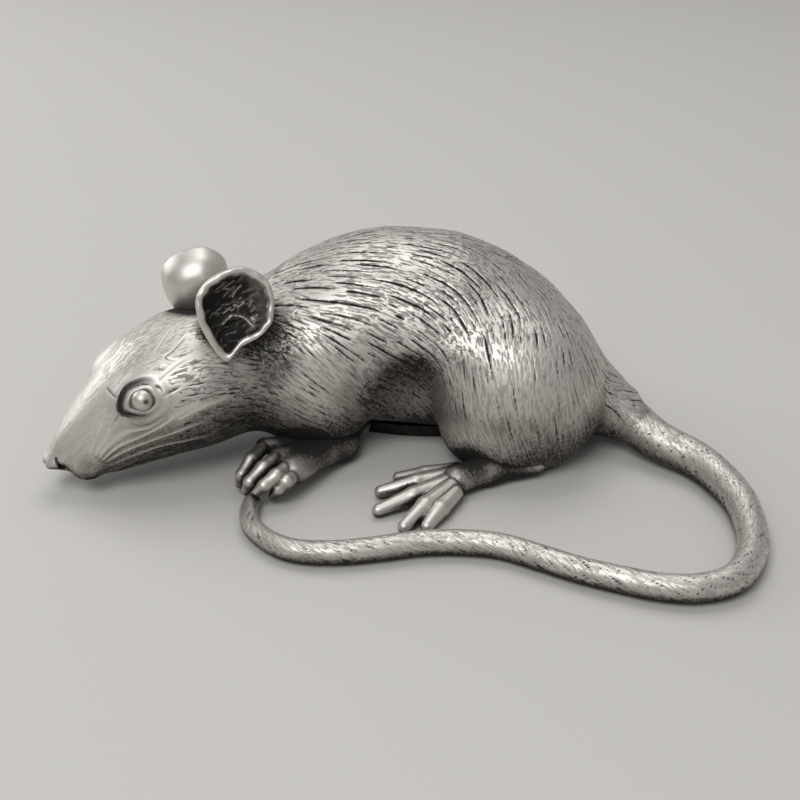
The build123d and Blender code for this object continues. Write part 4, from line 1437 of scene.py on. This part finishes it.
# %% Head and body
SEAM = -1.5
FULL_FUR, NECK_BLEND = 0.18, 6.0
middles = body_corners[body_quads].mean(1)
is_head = measured(face, middles) < measured(trunk, middles)
is_left = middles[:, 1] < SEAM
carved_normals = corner_normals(body_carved, body_quads)
head_share = np.clip(0.5 + (measured(trunk, body_corners) - measured(face, body_corners)) / NECK_BLEND, 0, 1)
body_fur = np.clip(body_coat["depth"] / FULL_FUR * (1 + head_share), 0, 1) * furred
for name, node, chosen in (
    ("cast_head", "head", is_head), ("cast_left_side", "body_left_half", ~is_head & is_left),
    ("cast_right_side", "body_right_half", ~is_head & ~is_left),
):
    made = piece(name, body_carved, body_quads[chosen], node, body_groove, body_wash_and_shade, body_fur, body_lie,
                 carved_normals)
    print(name, len(made.data.polygons), "quads")

# %% [markdown]
# The far paws are the near ones in a mirror, because the photograph hides them. The right hind paw stands a
# little further in, under its smaller haunch. A mirror turns every quad inside out, so its corners are listed
# backwards to keep the normals outward.

# %% Paws, ears and eyes
EYE_WASH = 0.05
for name, node, (corners, quads), dark, inward in (
    ("fore_paw", "foreleg", forepaw_mesh, forepaw_dark, np.zeros(3)),
    ("hind_paw", "hind_foot", hind_mesh, hind_dark, FAR_HAUNCH),
):
    normals = corner_normals(corners, quads)
    # crowd holds the paw's wash and painted shade.
    crowd = wash_and_painted_shade(corners, normals)
    piece(f"left_{name}", corners, quads, f"left_{node}", dark, crowd)
    piece(f"right_{name}", corners * FAR_SIDE - inward, quads[:, ::-1], f"right_{node}", dark, crowd)

for name in EARS:
    middle, rearward, rise, facing = ear_axes(name)
    corners = middle + EARS[name][-1] * (ear_flat @ np.stack([rearward, rise]) + np.outer(ear_height, facing))
    turned = ear_quads if name == "left" else ear_quads[:, ::-1]
    piece(f"{name}_ear_cup", corners, turned, f"{name}_ear", 0.0, ear_dark)

piece("left_eye_bead", eye_corners, eye_quads, "left_eye", eye_dark, EYE_WASH)
far_eye = mirrored(eye_corners - eye_out * FAR_EYE_SINK, HEAD_MIRROR)
piece("right_eye_bead", far_eye, eye_quads[:, ::-1], "right_eye", eye_dark, EYE_WASH)
print("far eye at", far_eye.mean(0).round(1), "mm")

# %% [markdown]
# The tail's cuts run along it and a little round it, like the turns of a loose cord. The combing only needs
# a way at each corner, so the same function that cut the coat serves here with one even zone.

# %% Tail piece
TAIL_CUTS = 0.8, 2.4, 0.17, 0.12
TAIL_SLANT, TAIL_FUR, TAIL_WASH = 0.55, 0.6, 0.05
tail_coat = {key: np.full(len(tail_corners), size) for key, size in zip(ZONE_KEYS, TAIL_CUTS)}
tail_around = np.cross(np.repeat(tail_ahead, TAIL_AROUND, 0), tail_normals)
tail_lie = laid_flat(np.repeat(tail_ahead, TAIL_AROUND, 0) + tail_around * TAIL_SLANT, tail_normals)
tail_strokes = Strokes()
if FINE:
    print("tail strokes", comb(tail_strokes, tail_corners, tail_normals, tail_lie, tail_coat, chance, {}))
tail_carved, tail_sunk = carve(tail_corners, tail_normals, tail_strokes)
tail_wash_and_shade = wash_and_painted_shade(tail_corners, tail_normals) + TAIL_WASH
piece("tail_curl", tail_carved, tail_quads, "tail", tail_sunk, tail_wash_and_shade, TAIL_FUR, tail_lie)

# %% [markdown]
# The plate under the belly and the pins inside are plain turned and milled metal, so their solids stay and
# only get a finish. The plate is nearly black, as painted shade under the belly.

# %% Plain metal
def plain_metal(name, colour, roughness):
    """Metal with a faint unevenness."""
    finish = Finish(name)
    lines = finish.noise(900.0, 2.0)
    darker = tuple(c * 0.7 for c in colour[:3]) + (1,)
    finish.into(
        Base_Color=finish.mix(finish.between(lines, 0.3, 0.7), colour, darker),
        Metallic=1.0,
        Roughness=roughness + (lines - 0.5) * 0.2,
    )
    return finish.material


# Nearly black: painted shade under the belly.
plate_painted_shade = plain_metal("plate_painted_shade", (0.06, 0.057, 0.053, 1), 0.6)
pin_metal = plain_metal("pin_metal", (0.55, 0.55, 0.55, 1), 0.3)
for node, material in (
    ("belly_plate", plate_painted_shade), ("seam_pins", pin_metal), ("neck_pin", pin_metal), ("tail_pin", pin_metal),
    ("foreleg_pins", pin_metal), ("hind_foot_pins", pin_metal),
):
    for thing in bpy.data.objects:
        if thing.type == "MESH" and thing.name.split(".")[0] == node:
            thing.data.materials.clear()
            thing.data.materials.append(material)
            print("finish on", thing.name)

# %% [markdown]
# Metal shows what stands round it, so the light is plain: a pale floor, an even grey room and three soft
# boxes. One is in front and one above, and a low one behind on the left draws the bright line along the nose.
# Small hard lamps would give sparks in place of a satin sheen.

# %% Floor and light
FLOOR_HALF = 2.0
FLOOR_CORNERS = (-1, -1), (1, -1), (1, 1), (-1, 1)
FLOOR_COLOUR = (0.62, 0.605, 0.58, 1)
ROOM_COLOUR, ROOM_LIGHT = (0.83, 0.82, 0.81, 1), 0.40
LAMP_AIM = (0, 0, 0.01)
floor_mesh = bpy.data.meshes.new("floor")
floor_mesh.from_pydata([(x * FLOOR_HALF, y * FLOOR_HALF, 0) for x, y in FLOOR_CORNERS], [], [(0, 1, 2, 3)])
floor = bpy.data.objects.new("floor", floor_mesh)
bpy.context.collection.objects.link(floor)
floor_finish = Finish("pale_floor")
floor_finish.into(Base_Color=FLOOR_COLOUR, Roughness=0.8)
floor_mesh.materials.append(floor_finish.material)
world = bpy.data.worlds.new("studio")
bpy.context.scene.world = world
world.use_nodes = True
room = world.node_tree.nodes["Background"]
room.inputs["Color"].default_value = ROOM_COLOUR
room.inputs["Strength"].default_value = ROOM_LIGHT
bpy.context.scene.view_settings.view_transform = "Standard"


def soft_box(name, place, size, power):
    """A square lamp that faces the mouse."""
    data = bpy.data.lights.new(name, "AREA")
    data.shape = "SQUARE"
    data.size = size
    data.energy = power
    lamp = bpy.data.objects.new(name, data)
    lamp.location = place
    lamp.rotation_euler = (Vector(LAMP_AIM) - Vector(place)).to_track_quat("-Z", "Y").to_euler()
    bpy.context.collection.objects.link(lamp)
    print(name, power, "W")


soft_box("front_box", (-0.12, -0.30, 0.45), 0.26, 1.1)
soft_box("top_box", (0.0, 0.22, 0.52), 0.36, 0.85)
soft_box("left_box", (-0.40, 0.27, 0.19), 0.28, 0.62)
